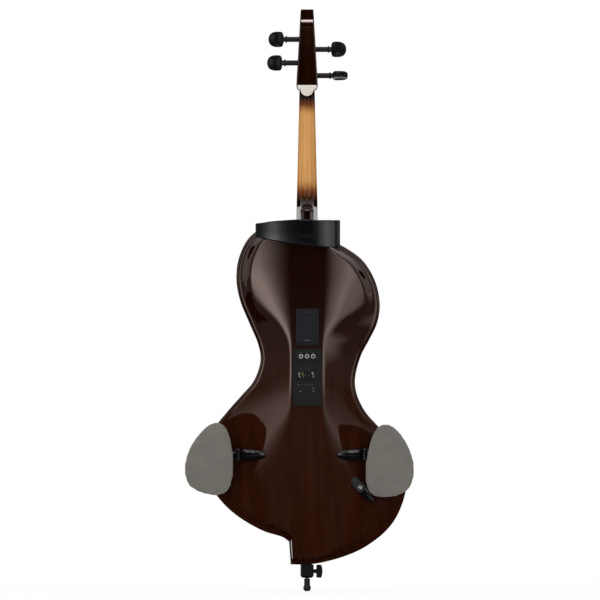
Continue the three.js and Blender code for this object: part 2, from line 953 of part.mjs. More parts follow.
function footGeometry() {
  const top = foot.height;
  const swell = Array.from({ length: swellSteps + 1 }, (_, k) => {
    const low = Math.asin(foot.flat / foot.ball);
    const high = Math.PI - Math.asin(foot.neck / foot.ball) - low;
    const angle = low + (high * k) / swellSteps;
    const centre = foot.ball * Math.cos(low);
    return [foot.ball * Math.sin(angle), centre - foot.ball * Math.cos(angle)];
  });
  const bore = rod.radius + gap;
  const profile = [
    [0, 0],
    ...swell,
    [foot.neck, top],
    [bore, top],
    [bore, foot.floorOfBore],
    [0, foot.floorOfBore],
  ];
  return turnedZ(profile, 24);
}

// Chest rest: a band swept round the player's chest, carried on two posts

const chestInner = stripY - chest.standOff;
const chestBend = (x) => ((x - chest.middle) * (x - chest.middle)) / (2 * chest.sweep);

function chestGeometry() {
  const foot = bodyTop + chest.over - chest.height;
  const rings = chestEdgeShares.map(([share, topShare, bottomShare]) => {
    const x = chest.middle + chest.half * (2 * share - 1);
    const inner = chestInner + chestBend(x);
    const outer = inner - chest.thick;
    const top = foot + topShare * chest.height;
    const bottom = foot + bottomShare * chest.height;
    const r = chest.round;
    return [
      point(x, inner, bottom + r),
      point(x, inner, top - r),
      point(x, inner - r, top),
      point(x, outer + r, top),
      point(x, outer, top - r),
      point(x, outer, bottom + r),
      point(x, outer + r, bottom),
      point(x, inner - r, bottom),
    ];
  });
  return loft(rings);
}

function chestSolid() {
  const posts = [-1, 1].map((side) => {
    const x = chest.middle + side * chest.postSpread;
    const start = chestInner + chestBend(x) - chest.thick / 2;
    return rodY(chest.postRadius, start, backEdge, x, bodyTop - chest.postDrop, 18);
  });
  return union(chestGeometry(), ...posts).subtract(underBody());
}

// The body's outside moved a gap towards the back, which trims whatever is seated on it
function underBody() {
  return backOutside.translate(0, -gap, 0);
}

// Knee rests

const pinY = stripY + rest.pinSet;
const knuckleFace = pinY - rest.knuckle;
const plateFace = knuckleFace - rest.plateGap;

const pinPlace = ({ side, pinShare }) => side * pinShare * shell.halfWidth;
const padPlace = (place) => pinPlace(place) + place.side * place.padReach;

function bracketSolid(place) {
  const base = pinY + rest.shoulder;
  const pinX = pinPlace(place);
  const rings = bracketShares.map(([along, wide, high]) => {
    const x = pinX - place.side * (rest.length - along * (rest.length - rest.tailGap));
    const half = rest.rise * wide;
    const top = base - (base - knuckleFace) * high;
    const dome = Array.from({ length: domeSteps + 1 }, (_, k) => {
      const angle = (Math.PI * k) / domeSteps;
      return point(x, base - (base - top) * Math.sin(angle), rest.height - half * Math.cos(angle));
    });
    const deep = pinY + rest.sink;
    return [point(x, deep, rest.height - half), ...dome, point(x, deep, rest.height + half)];
  });
  const slot = rest.tongueHalf + gap;
  const ends = [pinX - place.side * (rest.tailGap + overrun / 2), pinX].sort((a, b) => a - b);
  const lugs = [-1, 1].flatMap((up) => {
    const z = [rest.height + up * slot, rest.height + up * rest.rise].sort((a, b) => a - b);
    return [
      rodZ(rest.knuckle, z[0], z[1], pinX, pinY, 20),
      box(ends[0], ends[1], knuckleFace, pinY + rest.sink, z[0], z[1]),
    ];
  });
  const room = rodZ(rest.knuckle + 2 * gap, rest.height - slot, rest.height + slot, pinX, pinY, 20);
  const hole = rodZ(
    rest.pinRadius + gap,
    rest.height - rest.rise - overrun,
    rest.height + rest.rise + overrun,
    pinX,
    pinY,
    14,
  );
  return union(loft(rings), ...lugs)
    .subtract(union(room))
    .subtract(union(hole))
    .subtract(underBody());
}

function armSolid(place) {
  const { side } = place;
  const pinX = pinPlace(place);
  const padX = padPlace(place);
  const top = knuckleFace + rest.armDrop;
  const ring = (x, half) => [
    point(x, top, rest.height - half + rest.armEdge),
    point(x, top, rest.height + half - rest.armEdge),
    point(x, top + rest.armEdge, rest.height + half),
    point(x, top + rest.armThick, rest.height + half),
    point(x, top + rest.armThick, rest.height - half),
    point(x, top + rest.armEdge, rest.height - half),
  ];
  const clear = pinX + side * (rest.knuckle + overrun / 2);
  const bar = loft([
    ring(pinX, rest.tongueHalf),
    ring(clear, rest.tongueHalf),
    ring(clear + side * rest.knuckle, rest.armHalf),
    ring(padX, rest.armHalf),
  ]);
  const knuckle = rodZ(
    rest.knuckle,
    rest.height - rest.tongueHalf,
    rest.height + rest.tongueHalf,
    pinX,
    pinY,
    20,
  );
  const boss = rodY(rest.bossRadius, plateFace + gap, top + rest.armThick, padX, rest.height, 20);
  const stud = rodY(rest.stud, plateFace - rest.plateThick + gap, top + gap, padX, rest.height, 16);
  const hole = rodZ(
    rest.pinRadius + gap,
    rest.height - rest.rise,
    rest.height + rest.rise,
    pinX,
    pinY,
    14,
  );
  return union(bar, knuckle, boss, stud).subtract(solid(hole));
}

function pinGeometry(place) {
  const half = rest.rise + rest.pinOver;
  return rodZ(rest.pinRadius, rest.height - half, rest.height + half, pinPlace(place), pinY, 14);
}

// The egg outline of a pad, drawn at a share of its size
function padRing(place, share, y) {
  const { side } = place;
  const angle = THREE.MathUtils.degToRad(side * place.tiltAngle);
  const curve = new THREE.CatmullRomCurve3(
    padShares.map(([x, z]) => point(-side * x * pad.half, 0, z * pad.halfHeight)),
    true,
    "centripetal",
  );
  return curve
    .getPoints(2 * padShares.length)
    .slice(0, -1)
    .map((p) => {
      const turned = p.multiplyScalar(share).applyAxisAngle(point(0, 1, 0), angle);
      return turned.add(point(padPlace(place), y, rest.height - rest.padDrop - place.lift));
    });
}

function plateSolid(place) {
  const plate = loft([
    padRing(place, pad.plateShare, plateFace),
    padRing(place, pad.plateShare, plateFace - rest.plateThick),
  ]);
  const from = plateFace - 2 * rest.plateThick;
  const hole = rodY(rest.stud + gap, from, plateFace + overrun, padPlace(place), rest.height, 16);
  return solid(plate).subtract(solid(hole));
}

function padGeometry(place) {
  const face = plateFace - rest.plateThick - gap;
  const rings = padCrownShares.map(([share, high]) => padRing(place, share, face - high * rest.padThick));
  return loft(rings);
}

// Side support

const supportArmTop = pinY + support.step - support.armRise;

function supportSolid() {
  const base = pinY + support.step;
  const rings = bracketShares.map(([along, wide, high]) => {
    const x = support.length * (1 - along);
    const half = support.half * wide;
    const top = base - support.rise * high;
    const dome = Array.from({ length: domeSteps + 1 }, (_, k) => {
      const angle = (Math.PI * k) / domeSteps;
      return point(x, base - (base - top) * Math.sin(angle), -half * Math.cos(angle));
    });
    return [point(x, base + support.depth, -half), ...dome, point(x, base + support.depth, half)];
  });
  const drop = loft(rings);
  const seat = rodY(support.half, base - support.rise / 2, base + support.depth, 0, 0, 20);
  const armBase = supportArmTop + support.armThick + gap;
  const armRoom = rodY(support.armHalf + gap, supportArmTop - overrun, armBase, 0, 0, 20);
  const placed = union(drop, seat).subtract(solid(armRoom));
  const hole = rodY(support.screw + gap, base - 2 * support.rise, base + support.screwDepth + gap, 0, 0, 14);
  const turned = placed
    .subtract(solid(hole))
    .rotate(0, -support.angle, 0)
    .translate(support.x, 0, support.z);
  return turned.subtract(underBody());
}

function supportArmGeometry() {
  const reach = support.armLength - support.armTip;
  const inner = support.armEdge;
  const shape = new THREE.Shape();
  shape.moveTo(0, inner - support.armHalf);
  shape.absarc(0, 0, support.armHalf - inner, -Math.PI / 2, Math.PI / 2);
  shape.lineTo(-reach, support.armTip - inner);
  shape.absarc(-reach, 0, support.armTip - inner, Math.PI / 2, 1.5 * Math.PI);
  shape.closePath();
  const made = new THREE.ExtrudeGeometry(shape, {
    depth: support.armThick - 2 * inner,
    bevelThickness: inner,
    bevelSize: inner,
    bevelSegments: 1,
    curveSegments: 10,
  });
  made.translate(0, 0, inner).rotateX(-Math.PI / 2).translate(0, supportArmTop, 0);
  const hole = rodY(support.screw + gap, supportArmTop - overrun, pinY + overrun, 0, 0, 14);
  const placed = solid(made).subtract(solid(hole));
  return placed.rotate(0, -support.angle, 0).translate(support.x, 0, support.z);
}

function supportScrewSolid() {
  const top = supportArmTop - gap;
  const bottom = pinY + support.step + support.screwDepth;
  return union(
    rodY(support.screwHead, top - support.screwHeight, top, support.x, support.z, 18),
    rodY(support.screw, top - support.screwHeight / 2, bottom, support.x, support.z, 14),
  );
}

// Preamp

const plateBack = stripY - gap;
const panelFace = plateBack - preamp.plate;
const panelTop = bodyBottom + preamp.top;
const panelBottom = panelTop - preamp.height;
const stripFace = panelFace - socketStrip.thick;
const boardFace = plateBack + circuit.standOff;
const sliderTravel = slider.slotHeight - slider.stemTall - 2 * gap;
const slotTopZ = panelTop - slider.slotTop;

function panelSolid() {
  const x = preamp.middle;
  const plate = box(x - preamp.half, x + preamp.half, panelFace, plateBack, panelBottom, panelTop);
  const stripTop = panelTop - socketStrip.top;
  const raised = box(
    x - socketStrip.half,
    x + socketStrip.half,
    stripFace,
    plateBack,
    stripTop - socketStrip.height,
    stripTop,
  );
  const outer = box(
    x - preamp.boxHalf,
    x + preamp.boxHalf,
    panelFace,
    plateBack + preamp.boxDepth,
    panelBottom + preamp.margin,
    panelTop - preamp.margin,
  );
  const inner = box(
    x - preamp.boxHalf + preamp.wall,
    x + preamp.boxHalf - preamp.wall,
    plateBack,
    plateBack + preamp.boxDepth + overrun,
    panelBottom + preamp.margin + preamp.wall,
    panelTop - preamp.margin - preamp.wall,
  );
  const jackHoles = jackPlaces().map(([jx, jz]) =>
    rodY(jack.barrel + gap, stripFace - overrun, overrun, jx, jz, 20),
  );
  const slots = sliderPlaces().map(([sx]) =>
    box(
      sx - slider.slotHalf,
      sx + slider.slotHalf,
      panelFace - overrun,
      plateBack + overrun,
      slotTopZ - slider.slotHeight,
      slotTopZ,
    ),
  );
  const keys = button.places.map((bx) => {
    const z = panelTop - button.drop;
    const wide = button.halfWidth + gap;
    const tall = button.halfHeight + gap;
    return box(x + bx - wide, x + bx + wide, panelFace - overrun, plateBack + overrun, z - tall, z + tall);
  });
  const lampHole = rodY(
    lamp.radius + gap,
    panelFace - overrun,
    plateBack + overrun,
    x + lamp.x,
    panelTop - lamp.drop,
    12,
  );
  return union(plate, raised, outer)
    .subtract(solid(inner))
    .subtract(union(...jackHoles, ...slots, ...keys, lampHole));
}

function jackPlaces() {
  return [-1, 0, 1].map((k) => [
    preamp.middle - jack.offset + k * jack.pitch,
    panelTop - socketStrip.socketDrop,
  ]);
}

function jackGeometry() {
  const through = socketStrip.thick + preamp.plate + gap;
  const profile = [
    [0, jack.depth - jack.wall],
    [jack.bore, jack.depth - jack.wall],
    [jack.bore, -jack.proud],
    [jack.ring, -jack.proud],
    [jack.ring, -gap],
    [jack.barrel, -gap],
    [jack.barrel, through],
    [jack.casing, through],
    [jack.casing, jack.depth],
    [0, jack.depth],
  ];
  return new THREE.LatheGeometry(
    profile.map(([x, y]) => new THREE.Vector2(x, y)),
    jack.segments,
  );
}

function sliderPlaces() {
  return sliderPlaceShares.map((share, k) => [
    slider.first + k * slider.pitch,
    slotTopZ - gap - slider.stemTall / 2 - share * sliderTravel,
  ]);
}

function sliderSolid() {
  const stem = box(
    -slider.stemHalf,
    slider.stemHalf,
    -gap - slider.knobHigh / 2,
    boardFace - panelFace - gap,
    -slider.stemTall / 2,
    slider.stemTall / 2,
  );
  const knob = box(
    -slider.knobHalf,
    slider.knobHalf,
    -gap - slider.knobHigh,
    -gap,
    -slider.knobTall / 2,
    slider.knobTall / 2,
  );
  return union(stem, knob);
}

function buttonGeometry() {
  return box(
    -button.halfWidth,
    button.halfWidth,
    -button.proud,
    boardFace - panelFace - gap - button.travel,
    -button.halfHeight,
    button.halfHeight,
  );
}

function circuitSolid() {
  const half = preamp.boxHalf - preamp.wall - gap;
  const x = preamp.middle;
  const bottom = panelBottom + preamp.margin + preamp.wall + gap;
  const card = box(x - half, x + half, boardFace, boardFace + circuit.thick, bottom, panelTop - circuit.top);
  const chipZ = panelTop - circuit.chipDrop;
  const chip = box(
    x - circuit.chipHalf,
    x + circuit.chipHalf,
    boardFace,
    boardFace + circuit.thick + circuit.chipHigh,
    chipZ - circuit.chipHalf,
    chipZ + circuit.chipHalf,
  );
  const lampZ = panelTop - lamp.drop;
  const lampBase = boardFace + circuit.thick / 2;
  const light = rodY(lamp.radius, panelFace - lamp.proud, lampBase, x + lamp.x, lampZ, 12);
  return union(card, chip, light);
}

// Battery box, its door and the battery

const batteryTop = bodyBottom + batteryBox.top;
const doorBottom = batteryTop - (batteryBox.height + door.height) / 2;
const wellBottom = batteryTop - (batteryBox.height + batteryBox.wellHeight) / 2;
const wellFloor = plateBack + batteryBox.depth - batteryBox.wall;

function batteryBoxSolid() {
  const x = batteryBox.middle;
  const { half, height, wall, wellHalf, wellHeight, depth } = batteryBox;
  const frame = box(x - half, x + half, panelFace, plateBack, batteryTop - height, batteryTop);
  const ledge = box(
    x - door.half - wall,
    x + door.half + wall,
    panelFace,
    plateBack + 2 * wall,
    doorBottom - wall,
    doorBottom + door.height + wall,
  );
  const well = box(
    x - wellHalf - wall,
    x + wellHalf + wall,
    panelFace,
    plateBack + depth,
    wellBottom - wall,
    wellBottom + wellHeight + wall,
  );
  const mouth = box(
    x - door.half - gap,
    x + door.half + gap,
    panelFace - overrun,
    plateBack + gap,
    doorBottom - gap,
    doorBottom + door.height + gap,
  );
  const inside = box(
    x - wellHalf,
    x + wellHalf,
    panelFace - overrun,
    wellFloor,
    wellBottom,
    wellBottom + wellHeight,
  );
  return union(frame, ledge, well).subtract(union(mouth, inside));
}

function doorSolid() {
  const x = batteryBox.middle;
  const r = batteryBox.plate / 2;
  const y = panelFace + r;
  const doorTop = doorBottom + door.height;
  const slab = box(x - door.half, x + door.half, panelFace, plateBack, doorBottom + r, doorTop);
  const barrel = rodX(r, x - door.half, x + door.half, y, doorBottom + r, 12);
  const z = doorBottom + door.height - door.slotDrop;
  const slot = box(
    x - door.slotHalf,
    x + door.slotHalf,
    panelFace - overrun,
    plateBack + overrun,
    z - door.slotHigh / 2,
    z + door.slotHigh / 2,
  );
  return union(slab, barrel).subtract(solid(slot));
}

function batteryGeometry() {
  const x = batteryBox.middle;
  const back = wellFloor - gap;
  const bottom = wellBottom + gap;
  return box(x - battery.half, x + battery.half, back - battery.thick, back, bottom, bottom + battery.height);
}

// Body with its hollow, and everything let into it

function backSolid() {
  const x = preamp.middle;
  const tenon = neckRoom();
  const panelRoom = box(
    x - preamp.boxHalf - gap,
    x + preamp.boxHalf + gap,
    stripY - overrun,
    shell.seam + overrun,
    panelBottom + preamp.margin - gap,
    panelTop - preamp.margin + gap,
  );
  const bx = batteryBox.middle;
  const ledgeHalf = door.half + batteryBox.wall + gap;
  const batteryRoom = box(
    bx - ledgeHalf,
    bx + ledgeHalf,
    stripY - overrun,
    shell.seam + overrun,
    doorBottom - batteryBox.wall - gap,
    doorBottom + door.height + batteryBox.wall + gap,
  );
  const bore = rodZ(collar.plug + gap, bodyBottom - overrun, bodyBottom + collar.plugLength + gap, 0, 0, 28);
  const rodRoom = rodZ(rod.radius + gap, bodyBottom, endBlockTop + overrun, 0, 0, 20);
  const screwRoom = rodY(post.shank + gap, crestY - post.depth - gap, crestY + overrun, 0, postZ, 16);
  return backOutside
    .subtract(hollowOf(backHalf, shell.wall, shell.backSkin))
    .subtract(tenon)
    .subtract(union(panelRoom, batteryRoom, bore, rodRoom, screwRoom, supportScrewRoom()));
}

function supportScrewRoom() {
  const bottom = pinY + support.step + support.screwDepth;
  return rodY(support.screw + gap, stripY, bottom + gap, support.x, support.z, 14);
}

function neckRoom() {
  const half = neck.heelHalf + gap;
  const back = neckFace - neck.footDepth - gap;
  return solid(box(-half, half, back, neckFace + overrun, bodyTop - neck.tenon - gap, bodyTop + overrun));
}

function topSolid() {
  const screwRoom = rodY(post.shank + gap, crestY - post.depth - gap, crestY + overrun, 0, postZ, 16);
  return carved(topHalf, 0, 0)
    .subtract(hollowOf(topHalf, shell.land, shell.topSkin))
    .subtract(neckRoom())
    .subtract(solid(screwRoom));
}

const finish = (color, roughness, metalness = 0) =>
  new THREE.MeshStandardMaterial({ color, roughness, metalness });
const lacquer = finish(0x3a130b, 0.15);
const maple = finish(0xc9965a, 0.35);
const spruce = finish(0x9a5a22, 0.2);
const ebony = finish(0x14110f, 0.5);
const bone = finish(0xe6dcc2, 0.5);
const bridgeWood = finish(0xb98a55, 0.6);
const gloss = finish(0x101012, 0.12);
const plastic = finish(0x232524, 0.45);
const rubber = finish(0x161616, 0.9);
const greyRubber = finish(0x474846, 0.8);
const felt = finish(0x787269, 0.95);
const steel = finish(0xc8c8cc, 0.25, 1);
const black = finish(0x1c1c1e, 0.3, 0.8);
const nickel = finish(0xd8d6d0, 0.2, 1);
const greenBoard = finish(0x1d4a2c, 0.6);
const cellLabel = finish(0x8a8d92, 0.5);

function piece(name, shape, material) {
  const geometry = shape.isBufferGeometry ? shape : geometryOf(shape);
  const mesh = new THREE.Mesh(geometry, material);
  mesh.name = name;
  return mesh;
}

function assembly(...meshes) {
  const group = new THREE.Group();
  group.add(...meshes);
  return group;
}

const body = assembly(
  piece("body_back", backSolid(), lacquer),
  piece("top_plate", topSolid(), spruce),
  piece("neck", neckSolid(), maple),
  piece("fingerboard", fingerboardGeometry(), ebony),
  piece("nut", nutGeometry(), bone),
  piece("bridge", bridgeGeometry(), bridgeWood),
  piece(
    "bridge_pickup",
    box(
      -pickup.half,
      pickup.half,
      crestY + gap,
      crestY + gap + pickup.thick,
      bridgeZ - pickup.width / 2,
      bridgeZ + pickup.width / 2,
    ),
    nickel,
  ),
  piece("tailpiece", tailpieceSolid(), ebony),
  piece("tail_post", postSolid(), black),
  piece("tail_loop", tube(loopPoints(), loopRadius, 8), black),
  ...pegNames.map((name) => piece("string_" + name, tube(stringPoints(name), stringRadii[name], 6), steel)),
);

const tuners = assembly(
  ...pegNames.map((name) => {
    const mesh = piece("fine_tuner_" + name, tunerGeometry(), nickel);
    const lean = (tailTopY - tailBottomY) * (1 - tuner.inset / tailLength) + tailBottomY;
    mesh.position.set(tailPlace(name), lean + tail.thick, tailTopZ - tuner.inset);
    return mesh;
  }),
);

const pegbox = assembly(
  ...pegs.map(({ name, y, z, out, boxHalf }) => {
    const mesh = piece("peg_" + name, pegSolid(boxHalf), ebony);
    mesh.position.set(0, y, z);
    mesh.rotation.set(THREE.MathUtils.degToRad(pegAngles[name]), 0, out < 0 ? Math.PI : 0, "XYZ");
    return mesh;
  }),
  ...pegNames.map((name) =>
    piece("winding_" + name, tube(windingPoints(name), stringRadii[name], winding.sides), steel),
  ),
);

const rodBottom = foot.floorOfBore + gap;
const endpin = assembly(
  piece("endpin_collar", collarSolid(), plastic),
  piece("endpin_rod", rodZ(rod.radius, rodBottom, rodBottom + rod.length, 0, 0, 20), steel),
  piece("endpin_foot", footGeometry(), rubber),
);
const wingScrew = piece("wing_screw", wingSolid(), plastic);
wingScrew.position.set(0, 0, wingZ);
endpin.add(wingScrew);

function kneeRest(place) {
  return assembly(
    piece("rest_bracket_" + place.name, bracketSolid(place), gloss),
    piece("rest_pin_" + place.name, pinGeometry(place), black),
    piece("rest_arm_" + place.name, armSolid(place), gloss),
    piece("pad_plate_" + place.name, plateSolid(place), plastic),
    piece("pad_" + place.name, padGeometry(place), felt),
  );
}

const sideSupport = assembly(
  piece("support_bracket", supportSolid(), gloss),
  piece("support_arm", supportArmGeometry(), greyRubber),
  piece("support_screw", supportScrewSolid(), nickel),
);

function placed(name, shape, material, x, y, z) {
  const mesh = piece(name, shape, material);
  mesh.position.set(x, y, z);
  return mesh;
}

const electronics = assembly(
  piece("preamp_panel", panelSolid(), plastic),
  ...jackPlaces().map(([x, z], k) => placed("jack_" + (k + 1), jackGeometry(), nickel, x, stripFace, z)),
  ...sliderPlaces().map(([x, z], k) => placed("slider_" + (k + 1), sliderSolid(), plastic, x, panelFace, z)),
  ...button.places.map((x, k) =>
    placed("button_" + (k + 1), buttonGeometry(), bone, preamp.middle + x, panelFace, panelTop - button.drop),
  ),
  piece("circuit_board", circuitSolid(), greenBoard),
  piece("battery_box", batteryBoxSolid(), plastic),
  piece("battery_door", doorSolid(), plastic),
  piece("battery", batteryGeometry(), cellLabel),
);

const cello = new THREE.Group();
cello.add(
  body,
  tuners,
  pegbox,
  endpin,
  piece("chest_rest", chestSolid(), gloss),
  kneeRest(kneeLeft),
  kneeRest(kneeRight),
  sideSupport,
  electronics,
);
console.log("least gap in the windings, mm:", Math.min(...pegNames.map(leastWindingGap)).toFixed(2));

export default cello;
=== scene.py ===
"""Electric cello seen from its back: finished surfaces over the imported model."""

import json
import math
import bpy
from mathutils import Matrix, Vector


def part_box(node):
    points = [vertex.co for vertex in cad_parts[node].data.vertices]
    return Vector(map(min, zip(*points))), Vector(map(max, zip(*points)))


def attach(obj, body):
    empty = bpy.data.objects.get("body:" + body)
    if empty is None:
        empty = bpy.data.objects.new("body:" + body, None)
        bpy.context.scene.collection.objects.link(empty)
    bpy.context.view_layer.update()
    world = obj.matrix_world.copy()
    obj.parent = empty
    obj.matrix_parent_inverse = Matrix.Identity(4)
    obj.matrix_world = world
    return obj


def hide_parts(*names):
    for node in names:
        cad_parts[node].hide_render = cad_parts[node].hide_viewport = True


bl_info = {
    "name": "Electric cello",
    "version": (1, 0, 0),
    "blender": (4, 5, 0),
    "location": "View3D > Sidebar > Cello",
    "description": "Builds the finished surfaces of an electric cello and its studio",
    "category": "Object",
}

import bmesh
import bpy
import numpy as np
from bpy.props import FloatProperty, FloatVectorProperty, IntProperty, PointerProperty
from mathutils import Matrix, Vector
from mathutils.kdtree import KDTree

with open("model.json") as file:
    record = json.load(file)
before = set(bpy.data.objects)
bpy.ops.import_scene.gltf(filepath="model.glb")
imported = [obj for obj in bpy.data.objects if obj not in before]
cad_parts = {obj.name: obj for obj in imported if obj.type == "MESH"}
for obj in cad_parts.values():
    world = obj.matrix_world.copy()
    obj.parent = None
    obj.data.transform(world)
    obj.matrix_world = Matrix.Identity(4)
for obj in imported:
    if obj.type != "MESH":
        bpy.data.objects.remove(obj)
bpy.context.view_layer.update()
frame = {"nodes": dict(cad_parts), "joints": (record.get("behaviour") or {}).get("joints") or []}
NODES = frame["nodes"]
BASE_BODY = "instrument"
STRINGS = ("a", "d", "g", "c")
SIDES = ("left", "right")

# Body outline as shares of its half width and its length, from the CAD model's own table
LEFT_OUTLINE = (
    (-0.04, 0.994), (-0.194, 1), (-0.358, 0.994), (-0.483, 0.974), (-0.579, 0.946), (-0.664, 0.888),
    (-0.683, 0.83), (-0.648, 0.771), (-0.554, 0.701), (-0.473, 0.642), (-0.45, 0.597), (-0.51, 0.538),
    (-0.636, 0.492), (-0.773, 0.445), (-0.922, 0.384), (-0.994, 0.302), (-0.946, 0.238), (-0.838, 0.188),
    (-0.676, 0.142), (-0.425, 0.098), (-0.232, 0.079), (-0.176, 0.067),
)
RIGHT_OUTLINE = (
    (-0.159, 0), (-0.001, 0), (0.134, 0.005), (0.373, 0.025), (0.548, 0.049), (0.752, 0.095), (0.869, 0.142),
    (0.952, 0.212), (0.961, 0.264), (0.879, 0.334), (0.701, 0.398), (0.564, 0.445), (0.486, 0.492),
    (0.463, 0.538), (0.519, 0.608), (0.6, 0.655), (0.673, 0.701), (0.702, 0.748), (0.688, 0.795),
    (0.636, 0.841), (0.534, 0.888), (0.395, 0.92), (0.221, 0.949), (0.067, 0.978),
)
PAD_OUTLINE = (
    (0.22, 1), (0.58, 0.95), (0.82, 0.69), (0.94, 0.34), (1, -0.11), (0.96, -0.52), (0.82, -0.82),
    (0.56, -0.97), (0.2, -1), (-0.13, -0.97), (-0.49, -0.88), (-0.85, -0.69), (-0.99, -0.34), (-0.94, 0),
    (-0.75, 0.34), (-0.49, 0.62), (-0.13, 0.88),
)


# Mesh helpers. Lengths in the tables are millimetres.

def link(data, name):
    piece = bpy.data.objects.new(name, data)
    bpy.context.scene.collection.objects.link(piece)
    return piece


def modify(piece, name, kind, **settings):
    modifier = piece.modifiers.new(name, kind)
    for key, value in settings.items():
        setattr(modifier, key, value)
    return modifier


def crease(mesh, degrees):
    for polygon in mesh.polygons:
        polygon.use_smooth = True
    mesh.set_sharp_from_angle(angle=math.radians(degrees))


def baked(piece):
    """Turns a piece with modifiers into a plain mesh of the same name."""
    graph = bpy.context.evaluated_depsgraph_get()
    mesh = bpy.data.meshes.new_from_object(piece.evaluated_get(graph), depsgraph=graph)
    piece.modifiers.clear()
    old = piece.data
    piece.data = mesh
    if isinstance(old, bpy.types.Mesh) and not old.users:
        bpy.data.meshes.remove(old)
    return piece


def skin(name, rings, degrees=30):
    """A closed skin through rings of equally many points."""
    rings = [np.asarray(ring, float) * 0.001 for ring in rings]
    count = len(rings[0])
    points = np.concatenate(rings)
    faces = []
    for r in range(len(rings) - 1):
        a = r * count
        for i in range(count):
            j = (i + 1) % count
            faces.append((a + i, a + j, a + j + count, a + i + count))
    faces.append(tuple(reversed(range(count))))
    faces.append(tuple(range((len(rings) - 1) * count, len(rings) * count)))
    mesh = bpy.data.meshes.new(name)
    mesh.from_pydata(points.tolist(), [], faces)
    mesh.update()
    shape = bmesh.new()
    shape.from_mesh(mesh)
    bmesh.ops.remove_doubles(shape, verts=shape.verts, dist=1e-6)
    bmesh.ops.recalc_face_normals(shape, faces=shape.faces)
    shape.to_mesh(mesh)
    shape.free()
    crease(mesh, degrees)
    return link(mesh, name)


def joined(name, parts, degrees=30):
    """One mesh from several pieces, which are used up."""
    shape = bmesh.new()
    for part in parts:
        shape.from_mesh(part.data)
        bpy.data.objects.remove(part)
    mesh = bpy.data.meshes.new(name)
    shape.to_mesh(mesh)
    shape.free()
    crease(mesh, degrees)
    return link(mesh, name)


def cut(piece, cutters):
    for cutter in cutters:
        modify(piece, "cut", "BOOLEAN", operation="DIFFERENCE", solver="EXACT", object=cutter)
    baked(piece)
    for cutter in cutters:
        bpy.data.objects.remove(cutter)
    return piece


def block(name, low, high):
    x0, y0, z0 = low
    x1, y1, z1 = high
    ring = [(x0, y0), (x1, y0), (x1, y1), (x0, y1)]
    return skin(name, [[(x, y, z) for x, y in ring] for z in (z0, z1)])


def turned(name, profile, segments, axis, place=(0, 0, 0), degrees=35):
    """A turned piece from pairs of radius and place along its axis."""
    angles = [2 * math.pi * k / segments for k in range(segments)]
    rings = []
    for radius, along in profile:
        ring = []
        for angle in angles:
            u, v = radius * math.cos(angle), radius * math.sin(angle)
            point = {"x": (along, u, v), "y": (v, along, u), "z": (u, v, along)}[axis]
            ring.append([a + b for a, b in zip(point, place)])
        rings.append(ring)
    return skin(name, rings, degrees)


# Faces that lean less than the first angle are one flat face, and edges from the second are rounded
FLAT_WITHIN, EDGE_FROM = math.radians(0.6), math.radians(28)


def refined(node, name, width, segments):
    """A copy of a CAD node with its flat faces made whole and its edges rounded."""
    mesh = NODES[node].data.copy()
    mesh.materials.clear()
    shape = bmesh.new()
    shape.from_mesh(mesh)
    bmesh.ops.remove_doubles(shape, verts=shape.verts, dist=2e-6)
    parts = {"verts": shape.verts, "edges": shape.edges}
    bmesh.ops.dissolve_limit(shape, angle_limit=FLAT_WITHIN, use_dissolve_boundaries=False, **parts)
    shape.to_mesh(mesh)
    shape.free()
    if "custom_normal" in mesh.attributes:
        mesh.attributes.remove(mesh.attributes["custom_normal"])
    piece = link(mesh, name)
    modify(
        piece, "edges", "BEVEL", width=width * 0.001, segments=segments, limit_method="ANGLE",
        angle_limit=EDGE_FROM, use_clamp_overlap=True,
    )
    baked(piece)
    crease(piece.data, 40)
    modify(piece, "normals", "WEIGHTED_NORMAL", keep_sharp=True)
    return baked(piece)


def catmull(points, closed, steps):
    """A centripetal curve through points of X and Z."""
    points = [np.array(p, float) for p in points]
    count = len(points)
    made = []
    spans = count if closed else count - 1
    for i in range(spans):
        if closed:
            p0, p1, p2, p3 = (points[(i + k) % count] for k in (-1, 0, 1, 2))
        else:
            p1, p2 = points[i], points[i + 1]
            p0 = points[i - 1] if i else 2 * p1 - p2
            p3 = points[i + 2] if i + 2 < count else 2 * p2 - p1
        d = [max(math.dist(a, b) ** 0.5, 1e-6) for a, b in ((p0, p1), (p1, p2), (p2, p3))]
        t1 = (p1 - p0) / d[0] - (p2 - p0) / (d[0] + d[1]) + (p2 - p1) / d[1]
        t2 = (p2 - p1) / d[1] - (p3 - p1) / (d[1] + d[2]) + (p3 - p2) / d[2]
        t1, t2 = t1 * d[1], t2 * d[1]
        for k in range(steps):
            t = k / steps
            made.append(
                p1 + t * t1 + t * t * (3 * (p2 - p1) - 2 * t1 - t2) + t ** 3 * (2 * (p1 - p2) + t1 + t2)
            )
    if not closed:
        made.append(points[-1])
    return made


# Nodes, alike for geometry, materials and the world

def add(tree, kind, sockets=None, **settings):
    """A node with its settings, and a value or a link in each socket that is named."""
    node = tree.nodes.new(kind)
    for key, value in settings.items():
        setattr(node, key, value)
    feed(tree, node, sockets or {})
    return node


def feed(tree, node, sockets):
    for key, value in sockets.items():
        socket = node.inputs[key]
        if isinstance(value, bpy.types.NodeSocket):
            tree.links.new(value, socket)
        else:
            socket.default_value = (*value, 1) if socket.type == "RGBA" else value


def quarter(axis):
    return Matrix.Rotation(math.radians(90), 4, axis)


